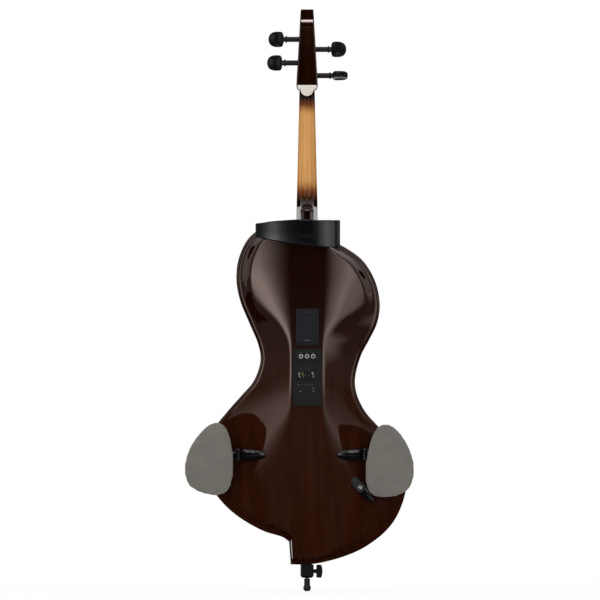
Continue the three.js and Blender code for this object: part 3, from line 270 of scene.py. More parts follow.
def node_tree(name, inputs):
    """A Geometry Nodes tree with its inputs, whole numbers and lengths."""
    tree = bpy.data.node_groups.new(name, "GeometryNodeTree")
    tree.interface.new_socket("Geometry", in_out="OUTPUT", socket_type="NodeSocketGeometry")
    for label, value in inputs.items():
        kind = "NodeSocketInt" if isinstance(value, int) else "NodeSocketFloat"
        tree.interface.new_socket(label, in_out="INPUT", socket_type=kind).default_value = value
    return tree, tree.nodes.new("NodeGroupInput").outputs


def finish_tree(tree, geometry, look):
    real = add(tree, "GeometryNodeRealizeInstances", {0: geometry})
    paint = add(tree, "GeometryNodeSetMaterial", {0: real.outputs[0], "Material": material(look)})
    add(tree, "NodeGroupOutput", {0: paint.outputs[0]})
    return tree


def grown(name, tree, values, matrix, degrees=40):
    """The mesh that a tree makes from its inputs, set in place."""
    piece = link(bpy.data.meshes.new(name), name)
    modifier = piece.modifiers.new("nodes", "NODES")
    modifier.node_group = tree
    for item in tree.interface.items_tree:
        if item.in_out == "INPUT" and item.name in values:
            modifier[item.identifier] = values[item.name]
    baked(piece)
    piece.data.transform(matrix)
    crease(piece.data, degrees)
    return piece


def winding_tree(look):
    """Turns of wire round a peg, along Z."""
    inputs = {"Turns": 2.0, "Radius": 0.007, "Length": 0.004, "Wire": 0.0006}
    tree, given = node_tree("String winding", inputs)
    coil = add(tree, "GeometryNodeCurveSpiral", {
        "Resolution": 40, "Rotations": given["Turns"], "Start Radius": given["Radius"],
        "End Radius": given["Radius"], "Height": given["Length"],
    })
    section = add(tree, "GeometryNodeCurvePrimitiveCircle", {"Resolution": 10, "Radius": given["Wire"]})
    solid = add(tree, "GeometryNodeCurveToMesh", {
        "Curve": coil.outputs[0], "Profile Curve": section.outputs[0], "Fill Caps": True,
    })
    return finish_tree(tree, solid.outputs[0], look)


def spread_tree(name, inputs, look, kind, places, sides, radius, depth):
    """Small cylinders on the points of a grid or a ring."""
    tree, given = node_tree(name, inputs)
    points = add(tree, kind, {socket: given[label] for socket, label in places.items()})
    size = {"Vertices": sides, "Radius": given[radius], "Depth": given[depth]}
    rod = add(tree, "GeometryNodeMeshCylinder", size)
    sources = {"Points": points.outputs["Mesh"], "Instance": rod.outputs["Mesh"]}
    spread = add(tree, "GeometryNodeInstanceOnPoints", sources)
    return finish_tree(tree, spread.outputs[0], look)


def dots_tree(name, look):
    """Rows of printed dots in the XY plane."""
    inputs = {"Columns": 5, "Rows": 1, "Width": 0.03, "Height": 0.01, "Size": 0.0008, "Thickness": 0.0003}
    places = {"Size X": "Width", "Size Y": "Height", "Vertices X": "Columns", "Vertices Y": "Rows"}
    return spread_tree(name, inputs, look, "GeometryNodeMeshGrid", places, 12, "Size", "Thickness")


def knurl_tree(look):
    """Ribs round a knob, along Z."""
    inputs = {"Ribs": 24, "Radius": 0.004, "Length": 0.006, "Rib": 0.0003}
    places = {"Vertices": "Ribs", "Radius": "Radius"}
    return spread_tree("Knurl", inputs, look, "GeometryNodeMeshCircle", places, 6, "Rib", "Length")


# Cloth

CLOTH_FRAMES = 20


def padded(piece, voxel, reach):
    """Lets a closed form swell as a filled cover does, moving no point further than its reach."""
    modify(piece, "voxels", "REMESH", mode="VOXEL", voxel_size=voxel)
    baked(piece)
    start = spots_of(piece)
    cloth = piece.modifiers.new("cloth", "CLOTH")
    for key, value in (
        ("quality", 5), ("mass", 0.3), ("tension_stiffness", 25), ("compression_stiffness", 25),
        ("bending_stiffness", 1.5), ("use_pressure", True), ("uniform_pressure_force", 4),
    ):
        setattr(cloth.settings, key, value)
    cloth.settings.effector_weights.gravity = 0
    cloth.point_cache.frame_start = 1
    cloth.point_cache.frame_end = CLOTH_FRAMES
    for number in range(1, CLOTH_FRAMES + 1):
        bpy.context.scene.frame_set(number)
        piece.evaluated_get(bpy.context.evaluated_depsgraph_get())
    baked(piece)
    bpy.context.scene.frame_set(1)
    step = spots_of(piece) - start
    length = np.linalg.norm(step, axis=1)
    share = np.minimum(1, reach / np.maximum(length, 1e-9))
    piece.data.vertices.foreach_set("co", (start + step * share[:, None]).ravel())
    modify(piece, "even", "SMOOTH", factor=0.5, iterations=3)
    modify(piece, "finer", "SUBSURF", levels=1, render_levels=1)
    baked(piece)
    crease(piece.data, 180)
    return piece


def spots_of(piece):
    spots = np.empty(len(piece.data.vertices) * 3, dtype=np.float32)
    piece.data.vertices.foreach_get("co", spots)
    return spots.reshape(-1, 3)


# Material helpers

def new_material(name):
    made = bpy.data.materials.new(name)
    made.use_nodes = True
    return made, made.node_tree


def shade(tree, sockets):
    """Sets or links sockets of a material's own shader."""
    feed(tree, tree.nodes["Principled BSDF"], sockets)


def own_place(tree):
    return add(tree, "ShaderNodeTexCoord").outputs["Object"]


def axes(tree):
    """X, Y and Z of the object's own coordinates."""
    return add(tree, "ShaderNodeSeparateXYZ", {"Vector": own_place(tree)}).outputs


def stretched(tree, stretch):
    return add(tree, "ShaderNodeMapping", {"Vector": own_place(tree), "Scale": stretch}).outputs["Vector"]


def grain(tree, scale, stretch=(1.0, 1.0, 1.0), detail=4.0, roughness=0.55, distortion=0.0):
    """Noise on object coordinates, stretched by an amount along each axis."""
    return add(tree, "ShaderNodeTexNoise", {
        "Vector": stretched(tree, stretch), "Scale": scale, "Detail": detail, "Roughness": roughness,
        "Distortion": distortion,
    }).outputs["Fac"]


def ramp(tree, value, *stops):
    node = add(tree, "ShaderNodeValToRGB", {"Fac": value})
    elements = node.color_ramp.elements
    for number, (position, colour) in enumerate((stops[0], stops[-1])):
        elements[number].position = position
        elements[number].color = (*colour, 1)
    for position, colour in stops[1:-1]:
        elements.new(position).color = (*colour, 1)
    return node.outputs["Color"]


def mixed(tree, share, first, second, blend="MIX"):
    sockets = {0: share, 6: first, 7: second}
    return add(tree, "ShaderNodeMix", sockets, data_type="RGBA", blend_type=blend).outputs[2]


def bumped(tree, height, strength, distance):
    bump = add(tree, "ShaderNodeBump", {"Height": height, "Strength": strength, "Distance": distance})
    shade(tree, {"Normal": bump.outputs["Normal"]})


def levels(tree, value, low, high, to_low=0.0, to_high=1.0, kind="SMOOTHSTEP"):
    sockets = {"Value": value, "From Min": low, "From Max": high, "To Min": to_low, "To Max": to_high}
    return add(tree, "ShaderNodeMapRange", sockets, interpolation_type=kind).outputs["Result"]


def calc(tree, operation, *values):
    return add(tree, "ShaderNodeMath", dict(enumerate(values)), operation=operation).outputs[0]


def times(colour, factor):
    return tuple(factor * c for c in colour)


def lacquer_material(name):
    look = bpy.context.scene.cello_body
    made, tree = new_material(name)
    dark, warm, tint = tuple(look.lacquer_dark), tuple(look.lacquer_warm), tuple(look.gloss_tint)
    low_wood = tuple(0.55 * w + 0.45 * d for w, d in zip(warm, dark))
    high_wood = times(warm, 1.4)
    streaks = grain(tree, 7.0, (9.0, 9.0, 0.5), 5.0, 0.6, 0.3)
    fine = grain(tree, 60.0, (6.0, 6.0, 0.25), 3.0, 0.5)
    wood = ramp(tree, streaks, (0.3, low_wood), (0.7, high_wood))
    wood = mixed(tree, 0.3, wood, ramp(tree, fine, (0.35, low_wood), (0.7, high_wood)))
    _, _, z = axes(tree)
    # Painted shade: from 0.36 m up to 0.66 m the colour is pulled most of the way to the dark lacquer, so the
    # upper body reads darker.
    wood = mixed(tree, levels(tree, z, 0.36, 0.66), wood, mixed(tree, 0.8, wood, dark))
    # Painted shade: below 0.405 to 0.475 m the shine is cut to about a third, which dims the lacquer's
    # reflections on the lower body.
    shine = mixed(tree, levels(tree, z, 0.405, 0.475), times(tint, 0.32), tint)
    shade(tree, {"Base Color": wood, "Roughness": 0.055, "IOR": 1.5, "Specular Tint": shine})
    bumped(tree, grain(tree, 6.0, detail=2.0), 0.1, 0.002)
    return made


def spruce_material(name):
    look = bpy.context.scene.cello_body
    made, tree = new_material(name)
    amber = tuple(look.top_amber)
    line = times(amber, 0.62)
    rings = add(tree, "ShaderNodeTexWave", {
        "Vector": stretched(tree, (1.0, 0.4, 0.02)), "Scale": 130.0, "Distortion": 1.2, "Detail": 2.0,
        "Detail Scale": 0.6,
    }, wave_type="BANDS", bands_direction="X")
    wood = ramp(tree, rings.outputs["Fac"], (0.1, amber), (0.75, amber), (0.98, line))
    cloud = grain(tree, 6.0, (2.0, 2.0, 0.6), 3.0)
    wood = mixed(tree, 0.35, wood, ramp(tree, cloud, (0.3, line), (0.7, amber)))
    inward = add(tree, "ShaderNodeAttribute", attribute_name="inward").outputs["Fac"]
    wood = mixed(tree, levels(tree, inward, 0.05, 0.75, 1.0, 0.0), wood, tuple(look.lacquer_dark))
    shade(tree, {"Base Color": wood, "Roughness": 0.4, "Coat Weight": 1.0, "Coat Roughness": 0.06})
    return made


# Heights in metres where the neck's finish changes
HEEL_BURST = (0.828, 0.908)
TOP_BURST = (1.036, 1.080)
HEAD_START = (1.0835, 1.085)


def neck_material(name):
    """Maple, stained dark towards the heel and under the head, with a lacquered head, a chin face painted
    with a highlight and painted shade in the neck's weaker shine.
    """
    look = bpy.context.scene.cello_neck
    made, tree = new_material(name)
    _, y, z = axes(tree)
    maple, deep, lacquer = tuple(look.maple), tuple(look.maple_deep), tuple(look.head_lacquer)
    lines = grain(tree, 26.0, (10.0, 10.0, 0.12), 3.0, 0.55, 0.1)
    flame = grain(tree, 26.0, (0.5, 0.5, 3.2), 2.0, 0.5, 0.6)
    wood = ramp(tree, lines, (0.32, deep), (0.5, maple), (0.7, times(maple, 1.12)))
    wood = mixed(tree, 0.15, wood, ramp(tree, flame, (0.35, deep), (0.65, maple)))
    height = calc(tree, "MULTIPLY_ADD", grain(tree, 90.0, (3.0, 3.0, 0.35), 3.0, 0.6), 0.014, z)
    greys = ((0.0, 1.0), (0.25, 0.93), (0.5, 0.6), (0.75, 0.25), (1.0, 0.0))
    heel = levels(tree, height, *HEEL_BURST, kind="LINEAR")
    heel = ramp(tree, heel, *((place, (grey, grey, grey)) for place, grey in greys))
    top = levels(tree, height, *TOP_BURST, kind="LINEAR")
    for amount in (heel, top):
        first, last = levels(tree, amount, 0.05, 0.6), levels(tree, amount, 0.4, 0.92)
        brown = mixed(tree, first, wood, tuple(look.burst), "MULTIPLY")
        wood = mixed(tree, last, brown, tuple(look.stain))
    streaks = grain(tree, 14.0, (9.0, 9.0, 0.5), 4.0)
    red = ramp(tree, streaks, (0.35, times(lacquer, 0.45)), (0.65, lacquer))
    wood = mixed(tree, levels(tree, z, *HEAD_START), wood, red)
    # Painted highlight: the chin's slanting face gets a near-white colour in place of a reflection.
    facet = levels(tree, calc(tree, "MULTIPLY_ADD", z, 0.8, y), 0.8837, 0.8840, 1.0, 0.0)
    low = levels(tree, z, 1.0944, 1.0946, 1.0, 0.0)
    high = levels(tree, z, 1.0678, 1.0682)
    pale = calc(tree, "MULTIPLY", calc(tree, "MULTIPLY", facet, low), high)
    wood = mixed(tree, pale, wood, tuple(look.chin))
    dark = calc(tree, "MAXIMUM", heel, top)
    tint = mixed(tree, dark, (1.0, 1.0, 1.0), (1.0, 0.86, 0.8))
    # Painted shade: between the heel and the head the shine is cut to 0.35, which darkens the neck's
    # reflections.
    painted_shade_zone = calc(tree, "MULTIPLY", levels(tree, z, 0.83, 0.86), levels(tree, z, 1.083, 1.085, 1.0, 0.0))
    shine = mixed(tree, painted_shade_zone, tint, mixed(tree, 1.0, tint, (0.35, 0.35, 0.35), "MULTIPLY"))
    shade(tree, {"Base Color": wood, "Specular Tint": shine, "Roughness": 0.06})
    return made


def plain_material(name, colour, roughness, metallic, speck, size, bump, shine):
    """A plain finish with fine mottling in its colour and a fine bump."""
    made, tree = new_material(name)
    if isinstance(colour, str):
        colour = tuple(getattr(bpy.context.scene.cello_parts, colour))
    value = grain(tree, size, detail=2.0)
    light = tuple(min(1.0, c * (1 + speck)) for c in colour)
    shade(tree, {
        "Base Color": ramp(tree, value, (0.3, tuple(c * (1 - speck) for c in colour)), (0.7, light)),
        "Roughness": roughness, "Metallic": metallic, "Specular IOR Level": shine,
    })
    if bump:
        bumped(tree, value, bump, 0.0002)
    return made


def ebony_material(name):
    made, tree = new_material(name)
    pores = grain(tree, 120.0, (4.0, 4.0, 0.3))
    wood = ramp(tree, pores, (0.4, (0.006, 0.0055, 0.005)), (0.75, (0.022, 0.017, 0.014)))
    shade(tree, {"Base Color": wood, "Roughness": 0.34})
    bumped(tree, pores, 0.08, 0.0003)
    return made


def maple_bridge_material(name):
    made, tree = new_material(name)
    flecks = grain(tree, 60.0, (1.0, 1.0, 3.0), 4.0, 0.6)
    wood = ramp(tree, flecks, (0.35, (0.34, 0.19, 0.09)), (0.65, (0.50, 0.32, 0.17)))
    shade(tree, {"Base Color": wood, "Roughness": 0.55})
    bumped(tree, flecks, 0.1, 0.0003)
    return made


def felt_material(name):
    """Matt warm grey cloth with a short nap and faint clouds."""
    made, tree = new_material(name)
    grey = tuple(bpy.context.scene.cello_rests.cloth)
    nap = grain(tree, 1500.0, detail=3.0, roughness=0.7)
    fine = ramp(tree, nap, (0.3, times(grey, 0.86)), (0.7, times(grey, 1.12)))
    broad = ramp(tree, grain(tree, 30.0), (0.3, times(grey, 0.84)), (0.7, times(grey, 1.14)))
    shade(tree, {
        "Base Color": mixed(tree, 0.55, fine, broad), "Roughness": 0.95, "Specular IOR Level": 0.2,
        "Sheen Weight": 0.25, "Sheen Roughness": 0.5,
    })
    bumped(tree, nap, 0.35, 0.0004)
    return made


def wound_material(name):
    """Wound steel: fine ridges round the string, with painted shade in the grooves between them."""
    made, tree = new_material(name)
    ridges = add(tree, "ShaderNodeTexWave", {"Vector": own_place(tree), "Scale": 900.0}, bands_direction="Z")
    # Painted shade: the darker bands of the ramp darken the grooves between the turns.
    steel = ramp(tree, ridges.outputs["Fac"], (0.2, (0.3, 0.3, 0.31)), (0.8, (0.62, 0.62, 0.63)))
    shade(tree, {"Base Color": steel, "Metallic": 1.0, "Roughness": 0.3})
    bumped(tree, ridges.outputs["Fac"], 0.2, 0.0001)
    return made


MAKERS = {
    "back_lacquer": lacquer_material,
    "top_varnish": spruce_material,
    "neck_maple": neck_material,
    "ebony": ebony_material,
    "bridge_maple": maple_bridge_material,
    "pad_felt": felt_material,
    "string_steel": wound_material,
}
# Plain finishes: colour or the setting that holds it, roughness, metal, mottling and its scale, bump, shine
PLAIN = {
    "peg_ebony": ((0.0045, 0.004, 0.0037), 0.22, 0, 0.12, 260, 0, 0.12),
    "peg_wood": ((0.016, 0.012, 0.0095), 0.3, 0, 0.12, 260, 0, 0.2),
    "band_black": ((0.0028, 0.003, 0.0036), 0.1, 0, 0.2, 300, 0, 0.27),
    "gloss_black": ("gloss_black", 0.09, 0, 0.2, 300, 0.02, 0.5),
    "satin_plastic": ("charcoal", 0.42, 0, 0.18, 1400, 0.12, 0.1),
    "battery_plastic": ("battery_grey", 0.4, 0, 0.18, 1400, 0.12, 0.12),
    "collar_plastic": ((0.005, 0.005, 0.0055), 0.34, 0, 0.2, 800, 0.06, 0.25),
    "dark_metal": ((0.02, 0.02, 0.022), 0.3, 0.6, 0.12, 600, 0.05, 0.5),
    "dark_cord": ((0.012, 0.012, 0.012), 0.5, 0, 0.12, 2500, 0.3, 0.5),
    "foot_rubber": ((0.012, 0.012, 0.012), 0.75, 0, 0.12, 1100, 0.2, 0.5),
    "grey_rubber": ((0.018, 0.018, 0.019), 0.45, 0, 0.12, 1100, 0.1, 0.25),
    "bright_steel": ((0.6, 0.6, 0.61), 0.2, 1, 0.06, 900, 0.05, 0.5),
    "pickup_metal": ((0.5, 0.49, 0.47), 0.32, 1, 0.08, 900, 0.05, 0.5),
    "nickel": ((0.78, 0.77, 0.74), 0.16, 1, 0.04, 900, 0.05, 0.5),
    "bone": ((0.68, 0.64, 0.52), 0.4, 0, 0.06, 500, 0.05, 0.5),
    "mark_pale": ((0.5, 0.5, 0.48), 0.6, 0, 0.04, 900, 0, 0.5),
    "mark_grey": ((0.22, 0.22, 0.21), 0.6, 0, 0.06, 900, 0, 0.5),
    "mark_dim": ((0.1, 0.1, 0.1), 0.6, 0, 0.08, 900, 0, 0.5),
    "mark_rose": ((0.62, 0.46, 0.42), 0.6, 0, 0.05, 900, 0, 0.5),
    "mark_olive": ((0.2, 0.22, 0.07), 0.6, 0, 0.05, 900, 0, 0.5),
    "ring_nickel": ((0.6, 0.6, 0.58), 0.42, 0.25, 0.04, 900, 0.02, 0.5),
    "lens_brown": ((0.07, 0.04, 0.022), 0.35, 0, 0.08, 900, 0, 0.5),
    # Near black: the socket barrels' own colour, and painted shade in the bar's shadow strip and the door's
    # lines.
    "socket_dark": ((0.003, 0.003, 0.003), 0.7, 0, 0.1, 900, 0, 0.5),
    "board_green": ((0.012, 0.07, 0.03), 0.35, 0, 0.2, 300, 0.05, 0.5),
    "cell_label": ((0.2, 0.21, 0.23), 0.4, 0, 0.06, 200, 0.05, 0.5),
}
MADE = {}


def material(name):
    if name not in MADE:
        MADE[name] = plain_material(name, *PLAIN[name]) if name in PLAIN else MAKERS[name](name)
    return MADE[name]


def settle(piece, body, look, nodes=()):
    """Gives a finished piece its material and the body it moves with, and hides the CAD nodes it stands for.
    """
    piece.data.materials.clear()
    piece.data.materials.append(material(look))
    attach(piece, body)
    if nodes:
        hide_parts(*nodes)
    return piece


def refine(node, name, width, segments, look, body=BASE_BODY):
    """Sets a CAD node's rounded copy in the node's place."""
    settle(refined(node, name, width, segments), body, look, [node])


def coat(node, look):
    """A better material on a CAD node whose shape is right."""
    data = NODES[node].data
    data.materials.clear()
    data.materials.append(material(look))


# Settings. Lengths are millimetres where they have no unit.

def measure(name, description, default, **kind):
    return FloatProperty(name=name, description=description, default=default, **kind)


def paint(name, description, *default):
    return FloatVectorProperty(name=name, description=description, subtype="COLOR", default=default)


class CelloBody(bpy.types.PropertyGroup):
    half_width: measure("Half width", "Widest reach of the body from its middle, mm", 224.0)
    length: measure("Length", "Length of the body, mm", 741.0)
    bottom: measure("Bottom", "Height of the body's lower end, mm", 58.0)
    seam: measure("Seam", "Depth of the seam between back and top, mm", 14.0)
    back_edge: measure("Back edge", "Depth where the side ends and the back's rim begins, mm", -8.0)
    back_round: measure("Rim round", "Rounding of the back's rim, mm", 9.0)
    wing_rise: measure("Wing rise", "Rise of the carved wings to the flat strip, mm", 25.0)
    strip_half: measure("Strip half", "Half width of the flat strip, mm", 32.4)
    slope_cap: measure("Steepest wing", "Steepest slope of a wing, as a tangent", 0.385)
    waist_slope: measure("Waist slope", "How much steeper the wings are at the waist, as a tangent", 0.15)
    shoulder: measure("Shoulder", "Width of the steep zone inside the rim, mm", 22.0)
    top_edge: measure("Top edge", "Height of the top's edge over the seam, mm", 3.0)
    top_round: measure("Top round", "Rounding of the top's edge, mm", 3.0)
    top_rise: measure("Top arch", "Arch of the top, mm", 8.0)
    steps: IntProperty(name="Steps", description="Points between two points of the outline", default=8)
    lacquer_dark: paint("Dark lacquer", "Darkest colour of the back", 0.0055, 0.0010, 0.0002)
    lacquer_warm: paint("Warm lacquer", "Colour of the wood that shows through", 0.021, 0.0052, 0.0020)
    gloss_tint: paint("Gloss tint", "Tint of the lacquer's shine", 1.0, 0.78, 0.70)
    top_amber: paint("Amber", "Colour of the top's middle", 0.36, 0.13, 0.03)


class CelloNeck(bpy.types.PropertyGroup):
    maple: paint("Maple", "Colour of the bare neck", 0.60, 0.30, 0.095)
    maple_deep: paint("Maple grain", "Colour of the neck's darker lines", 0.47, 0.215, 0.055)
    burst: paint("Burst", "Brown of the burst, multiplied with the maple", 0.30, 0.15, 0.06)
    stain: paint("Stain", "Darkest colour of the burst", 0.006, 0.0016, 0.0006)
    head_lacquer: paint("Head lacquer", "Colour of the head", 0.014, 0.0028, 0.0006)
    # Near-white colour that paints a highlight on the chin's slanting face.
    chin: paint("Chin", "Colour of the chin's slanting face", 0.84, 0.785, 0.70)


class CelloRests(bpy.types.PropertyGroup):
    pad_half: measure("Pad half width", "Half width of a knee pad, mm", 52.0)
    pad_half_height: measure("Pad half height", "Half height of a knee pad, mm", 78.0)
    swell: measure("Swell", "How far the cloth over a pad may swell, mm", 1.6)
    cloth: paint("Cloth", "Colour of the pads", 0.152, 0.144, 0.126)


class CelloParts(bpy.types.PropertyGroup):
    gloss_black: paint("Gloss black", "Colour of the rests", 0.004, 0.004, 0.0045)
    charcoal: paint("Charcoal", "Colour of the preamp's panel", 0.0085, 0.0095, 0.009)
    battery_grey: paint("Battery door", "Colour of the battery box", 0.008, 0.0085, 0.011)
    edge: measure("Edge", "Rounding of small moulded edges, mm", 0.4)


class CelloStage(bpy.types.PropertyGroup):
    distance: measure("Distance", "Camera distance", 45.0, unit="LENGTH")
    view_height: measure("View height", "Height of the view in the object's plane", 1.296, unit="LENGTH")
    centre_x: measure("Centre X", "Middle of the view", -0.0153, unit="LENGTH")
    centre_z: measure("Centre Z", "Middle of the view", 0.6296, unit="LENGTH")
    ambient: measure("Ambient", "Strength of the even light", 0.42)
    left_glow: measure("Left card", "Brightness of the left card in reflections", 4.8)
    right_glow: measure("Right card", "Brightness of the right card in reflections", 3.6)
    side_glow: measure("Side cards", "Brightness of the side cards in reflections", 1.7)
    key_glow: measure("Key card", "Brightness of the small high card that gives points of light", 24.0)
    over_glow: measure("Overhead card", "Brightness of the card overhead", 3.0)
    rear_glow: measure("Rear flags", "Brightness of the dim flags behind the sides", 0.3)
    dim_glow: measure("Dim cards", "Brightness of the dim zone behind the camera", 0.25)


# Body

def outline(look):
    half, length, bottom = look.half_width, look.length, look.bottom
    left = [(x * half, bottom + z * length) for x, z in LEFT_OUTLINE]
    right = [(x * half, bottom + z * length) for x, z in (*RIGHT_OUTLINE, LEFT_OUTLINE[0])]
    down = catmull(left, False, look.steps)
    up = catmull(right, False, look.steps)
    notch = [down[-1] + (up[0] - down[-1]) * k / look.steps for k in range(1, look.steps)]
    return np.array([*down, *notch, *up[:-1]])


# By height: how far from the strip a wing curves before its slope is even, in mm, and the share of the
# waist's extra slope
BLEND_BY_HEIGHT = (
    (58, 150), (200, 150), (250, 130), (300, 100), (340, 60), (368, 30), (390, 7), (530, 7),
    (552, 12), (570, 22), (593, 54), (619, 100), (645, 136), (671, 180), (697, 220), (799, 230),
)
WAIST_BY_HEIGHT = (
    (420, 0), (445, 0.2), (470, 0.8), (485, 1), (530, 1), (550, 0.8), (580, 0.2), (605, 0),
)


# Rings from the rim to the middle strip, and the last ones' distances from the strip, mm
WING_RINGS = 27
NEAR_STRIP = (0, 1.2, 2.4, 3.6, 4.8, 6.0, 7.5)
RIM_RINGS = 8


def carved(name, look, out):
    """The back or the top: a rounded rim, then wings that rise to the middle strip."""
    points = outline(look)
    count = len(points)
    middle = look.bottom + look.length / 2
    run = np.roll(points, -1, axis=0) - np.roll(points, 1, axis=0)
    run /= np.linalg.norm(run, axis=1)[:, None]
    inward = np.stack([-run[:, 1], run[:, 0]], axis=1)
    strip_x = np.clip(0.85 * points[:, 0], -look.strip_half, look.strip_half)
    strip_z = middle + 0.95 * (points[:, 1] - middle)
    line = np.stack([strip_x, strip_z], axis=1) - points
    length = np.linalg.norm(line, axis=1)
    direction = line / length[:, None]
    lean = np.maximum(0.5, np.abs((direction * inward).sum(axis=1)))
    back = out < 0
    round_by = look.back_round if back else look.top_round
    rise = look.wing_rise if back else look.top_rise
    base = look.back_edge if back else look.seam + look.top_edge
    edge = np.minimum(round_by / lean, 0.45 * length)
    width = length - edge
    near_by = [np.interp(points[:, 1] + shift, *zip(*BLEND_BY_HEIGHT)) for shift in range(-18, 19, 6)]
    blend = np.mean(near_by, axis=0) if back else np.full(count, 400.0)
    shoulder = np.minimum(look.shoulder, 0.4 * width)

    def arch(far, slope):
        return slope * np.where(far < blend, far * far / (2 * blend), far - blend / 2)

    full = rise / arch(width, 1.0)
    cap = look.slope_cap + look.waist_slope * np.interp(points[:, 1], *zip(*WAIST_BY_HEIGHT))
    slope = (cap ** -8 + full ** -8) ** (-1 / 8)
    step = rise - arch(width, slope)
    rings = []
    shares = []

    def ring(along, height, share):
        spots = points + direction * along[:, None]
        rings.append(np.stack([spots[:, 0], base + out * height, spots[:, 1]], axis=1))
        shares.append(share)

    zero = np.zeros(count)
    seam = np.full(count, (look.seam - base) * out)
    ring(length, seam, 1.0)
    ring(0.5 * length, seam, 0.5)
    ring(zero, seam, 0.0)
    ring(zero, seam * 0.5, 0.0)
    ring(zero, zero, 0.0)
    for k in range(1, RIM_RINGS + 1):
        turn = math.radians(90 * k / RIM_RINGS)
        ring((1 - math.cos(turn)) * edge, np.full(count, round_by * math.sin(turn)), 0.02)
    last = NEAR_STRIP[-1]
    shares_of_wing = [1 - k / WING_RINGS for k in range(1, WING_RINGS)]
    fars = [last + (width - last) * (0.55 * u + 0.45 * (1 - (1 - u) ** 2)) for u in shares_of_wing]
    fars += [np.minimum(np.full(count, float(near)), width * 0.3) for near in reversed(NEAR_STRIP)]
    for far in fars:
        u = np.clip((far - (width - shoulder)) / shoulder, 0, 1)
        drop = arch(far, slope) + step * u * u * (3 - 2 * u)
        ring(length - far, round_by + rise - drop, 1 - far / width)
    inner = np.stack([0.86 * strip_x, middle + 0.985 * (strip_z - middle)], axis=1)
    rings.append(np.stack([inner[:, 0], np.full(count, base + out * (round_by + rise)), inner[:, 1]], axis=1))
    shares.append(1.0)
    piece = skin(name, rings, 24)
    values = np.concatenate([np.broadcast_to(share, count) for share in shares])
    places = np.concatenate(rings) * 0.001
    spots = KDTree(len(places))
    for number, place in enumerate(places):
        spots.insert(place, number)
    spots.balance()
    spread = [values[spots.find(v.co)[1]] for v in piece.data.vertices]
    attribute = piece.data.attributes.new("inward", "FLOAT", "POINT")
    attribute.data.foreach_set("value", np.array(spread, dtype=np.float32))
    return piece


# Rooms cut into the back, from corner to corner
ROOMS = {
    "room_panel": ((-27.4, -50, 404.4), (29.2, 13, 521.2)),
    "room_battery": ((-21.1, -50, 534.7), (22.5, 13, 608.3)),
    "room_neck": ((-23.8, -14.3, 742.7), (23.8, 20, 803)),
}


class CELLO_OT_back(bpy.types.Operator):
    """Carved back with its rim, wings and flat strip, and the rooms for what is let into it"""
    bl_idname = "cello.back"
    bl_label = "Back"

    def execute(self, context):
        piece = carved("back_shell", context.scene.cello_body, -1)
        cut(piece, [
            *(block(name, low, high) for name, (low, high) in ROOMS.items()),
            turned("room_collar", [(11.3, 54), (11.3, 100.3)], 32, "z"),
            turned("room_screw", [(3.3, -50), (3.3, -29.7)], 20, "y", (115.3, 0, 224.6)),
        ])
        crease(piece.data, 24)
        settle(piece, BASE_BODY, "back_lacquer", ["body_back"])
        return {"FINISHED"}


class CELLO_OT_top(bpy.types.Operator):
    """Arched top with its edge"""
    bl_idname = "cello.top"
    bl_label = "Top"

    def execute(self, context):
        piece = carved("top_shell", context.scene.cello_body, 1)
        cut(piece, [
            block("room_heel", (-23.8, 10, 742.7), (23.8, 60, 803)),
            turned("room_post", [(4.3, 10), (4.3, 40)], 24, "y", (0, 0, 92)),
        ])
        crease(piece.data, 24)
        settle(piece, BASE_BODY, "top_varnish", ["top_plate"])
        return {"FINISHED"}


# Neck and head. Depths run from the face under the fingerboard towards the back.

NECK_FACE = 50.3
CHIN_TOP = 1094.5
BODY_TOP = 799.0
# Height, half width, depth and the keel's share
NECK_TABLE = (
    (743, 23.5, 64, 1.0), (799, 23.5, 64, 1.0), (820, 23.3, 64, 1.0), (825, 23.2, 62.6, 1.0),
    (827, 23.2, 59, 1.0), (829.5, 23.1, 50, 0.95), (833, 23.0, 41, 0.8), (838, 22.8, 33, 0.5),
    (844, 22.6, 27.8, 0.2), (851, 22.4, 25.2, 0.05), (860, 22.1, 24.4, 0.0), (900, 21.1, 23.2, 0.0),
    (980, 19.2, 21.4, 0.0), (1060, 17.2, 19.6, 0.0), (1087, 16.6, 19.0, 0.0), (1098, 16.4, 19.0, 0.0),
)
# The keel's section as shares of half width and depth
KEEL = (
    (1, 0), (0.99, 0.1), (0.95, 0.2), (0.85, 0.4), (0.74, 0.62), (0.63, 0.84), (0.58, 0.94), (0.5, 0.99),
    (0.25, 1), (0, 1),
)
# Height and Y of the head's back and front faces
HEAD_BACK = (
    (1085, 18.6), (1094.2, 10.6), (1095.0, 7.4), (1228.8, -3.2), (1229.4, -3.1), (1229.8, -2.95),
    (1238.6, -0.36), (1239.0, -0.3), (1239.6, -0.25), (1255.5, 0.8), (1256.9, 0.88), (1258, 2.4),
)
HEAD_FRONT = (
    (1083.5, 50.3), (1094, 50.3), (1100.7, 53.0), (1218, 40.6), (1249, 34.3), (1256, 30.5), (1258, 27.0),
)


def neck_ring(height, half, depth, keel, steps=14, side=4.0):
    """The neck's section: an oval, blended with a keel by the share that is given."""
    keel_line = catmull([(x * half, side + y * (depth - side)) for x, y in KEEL], False, 4)
    half_ring = [(half, 0.0)]
    for k in range(steps + 1):
        angle = math.pi / 2 * k / steps
        oval = np.array([half * math.cos(angle), side + (depth - side) * math.sin(angle)])
        spot = keel_line[round(k * (len(keel_line) - 1) / steps)]
        half_ring.append((1 - keel) * oval + keel * spot)
    ring = [(x, NECK_FACE - y, height) for x, y in half_ring]
    return ring + [(-x, y, z) for x, y, z in reversed(ring[:-1])]


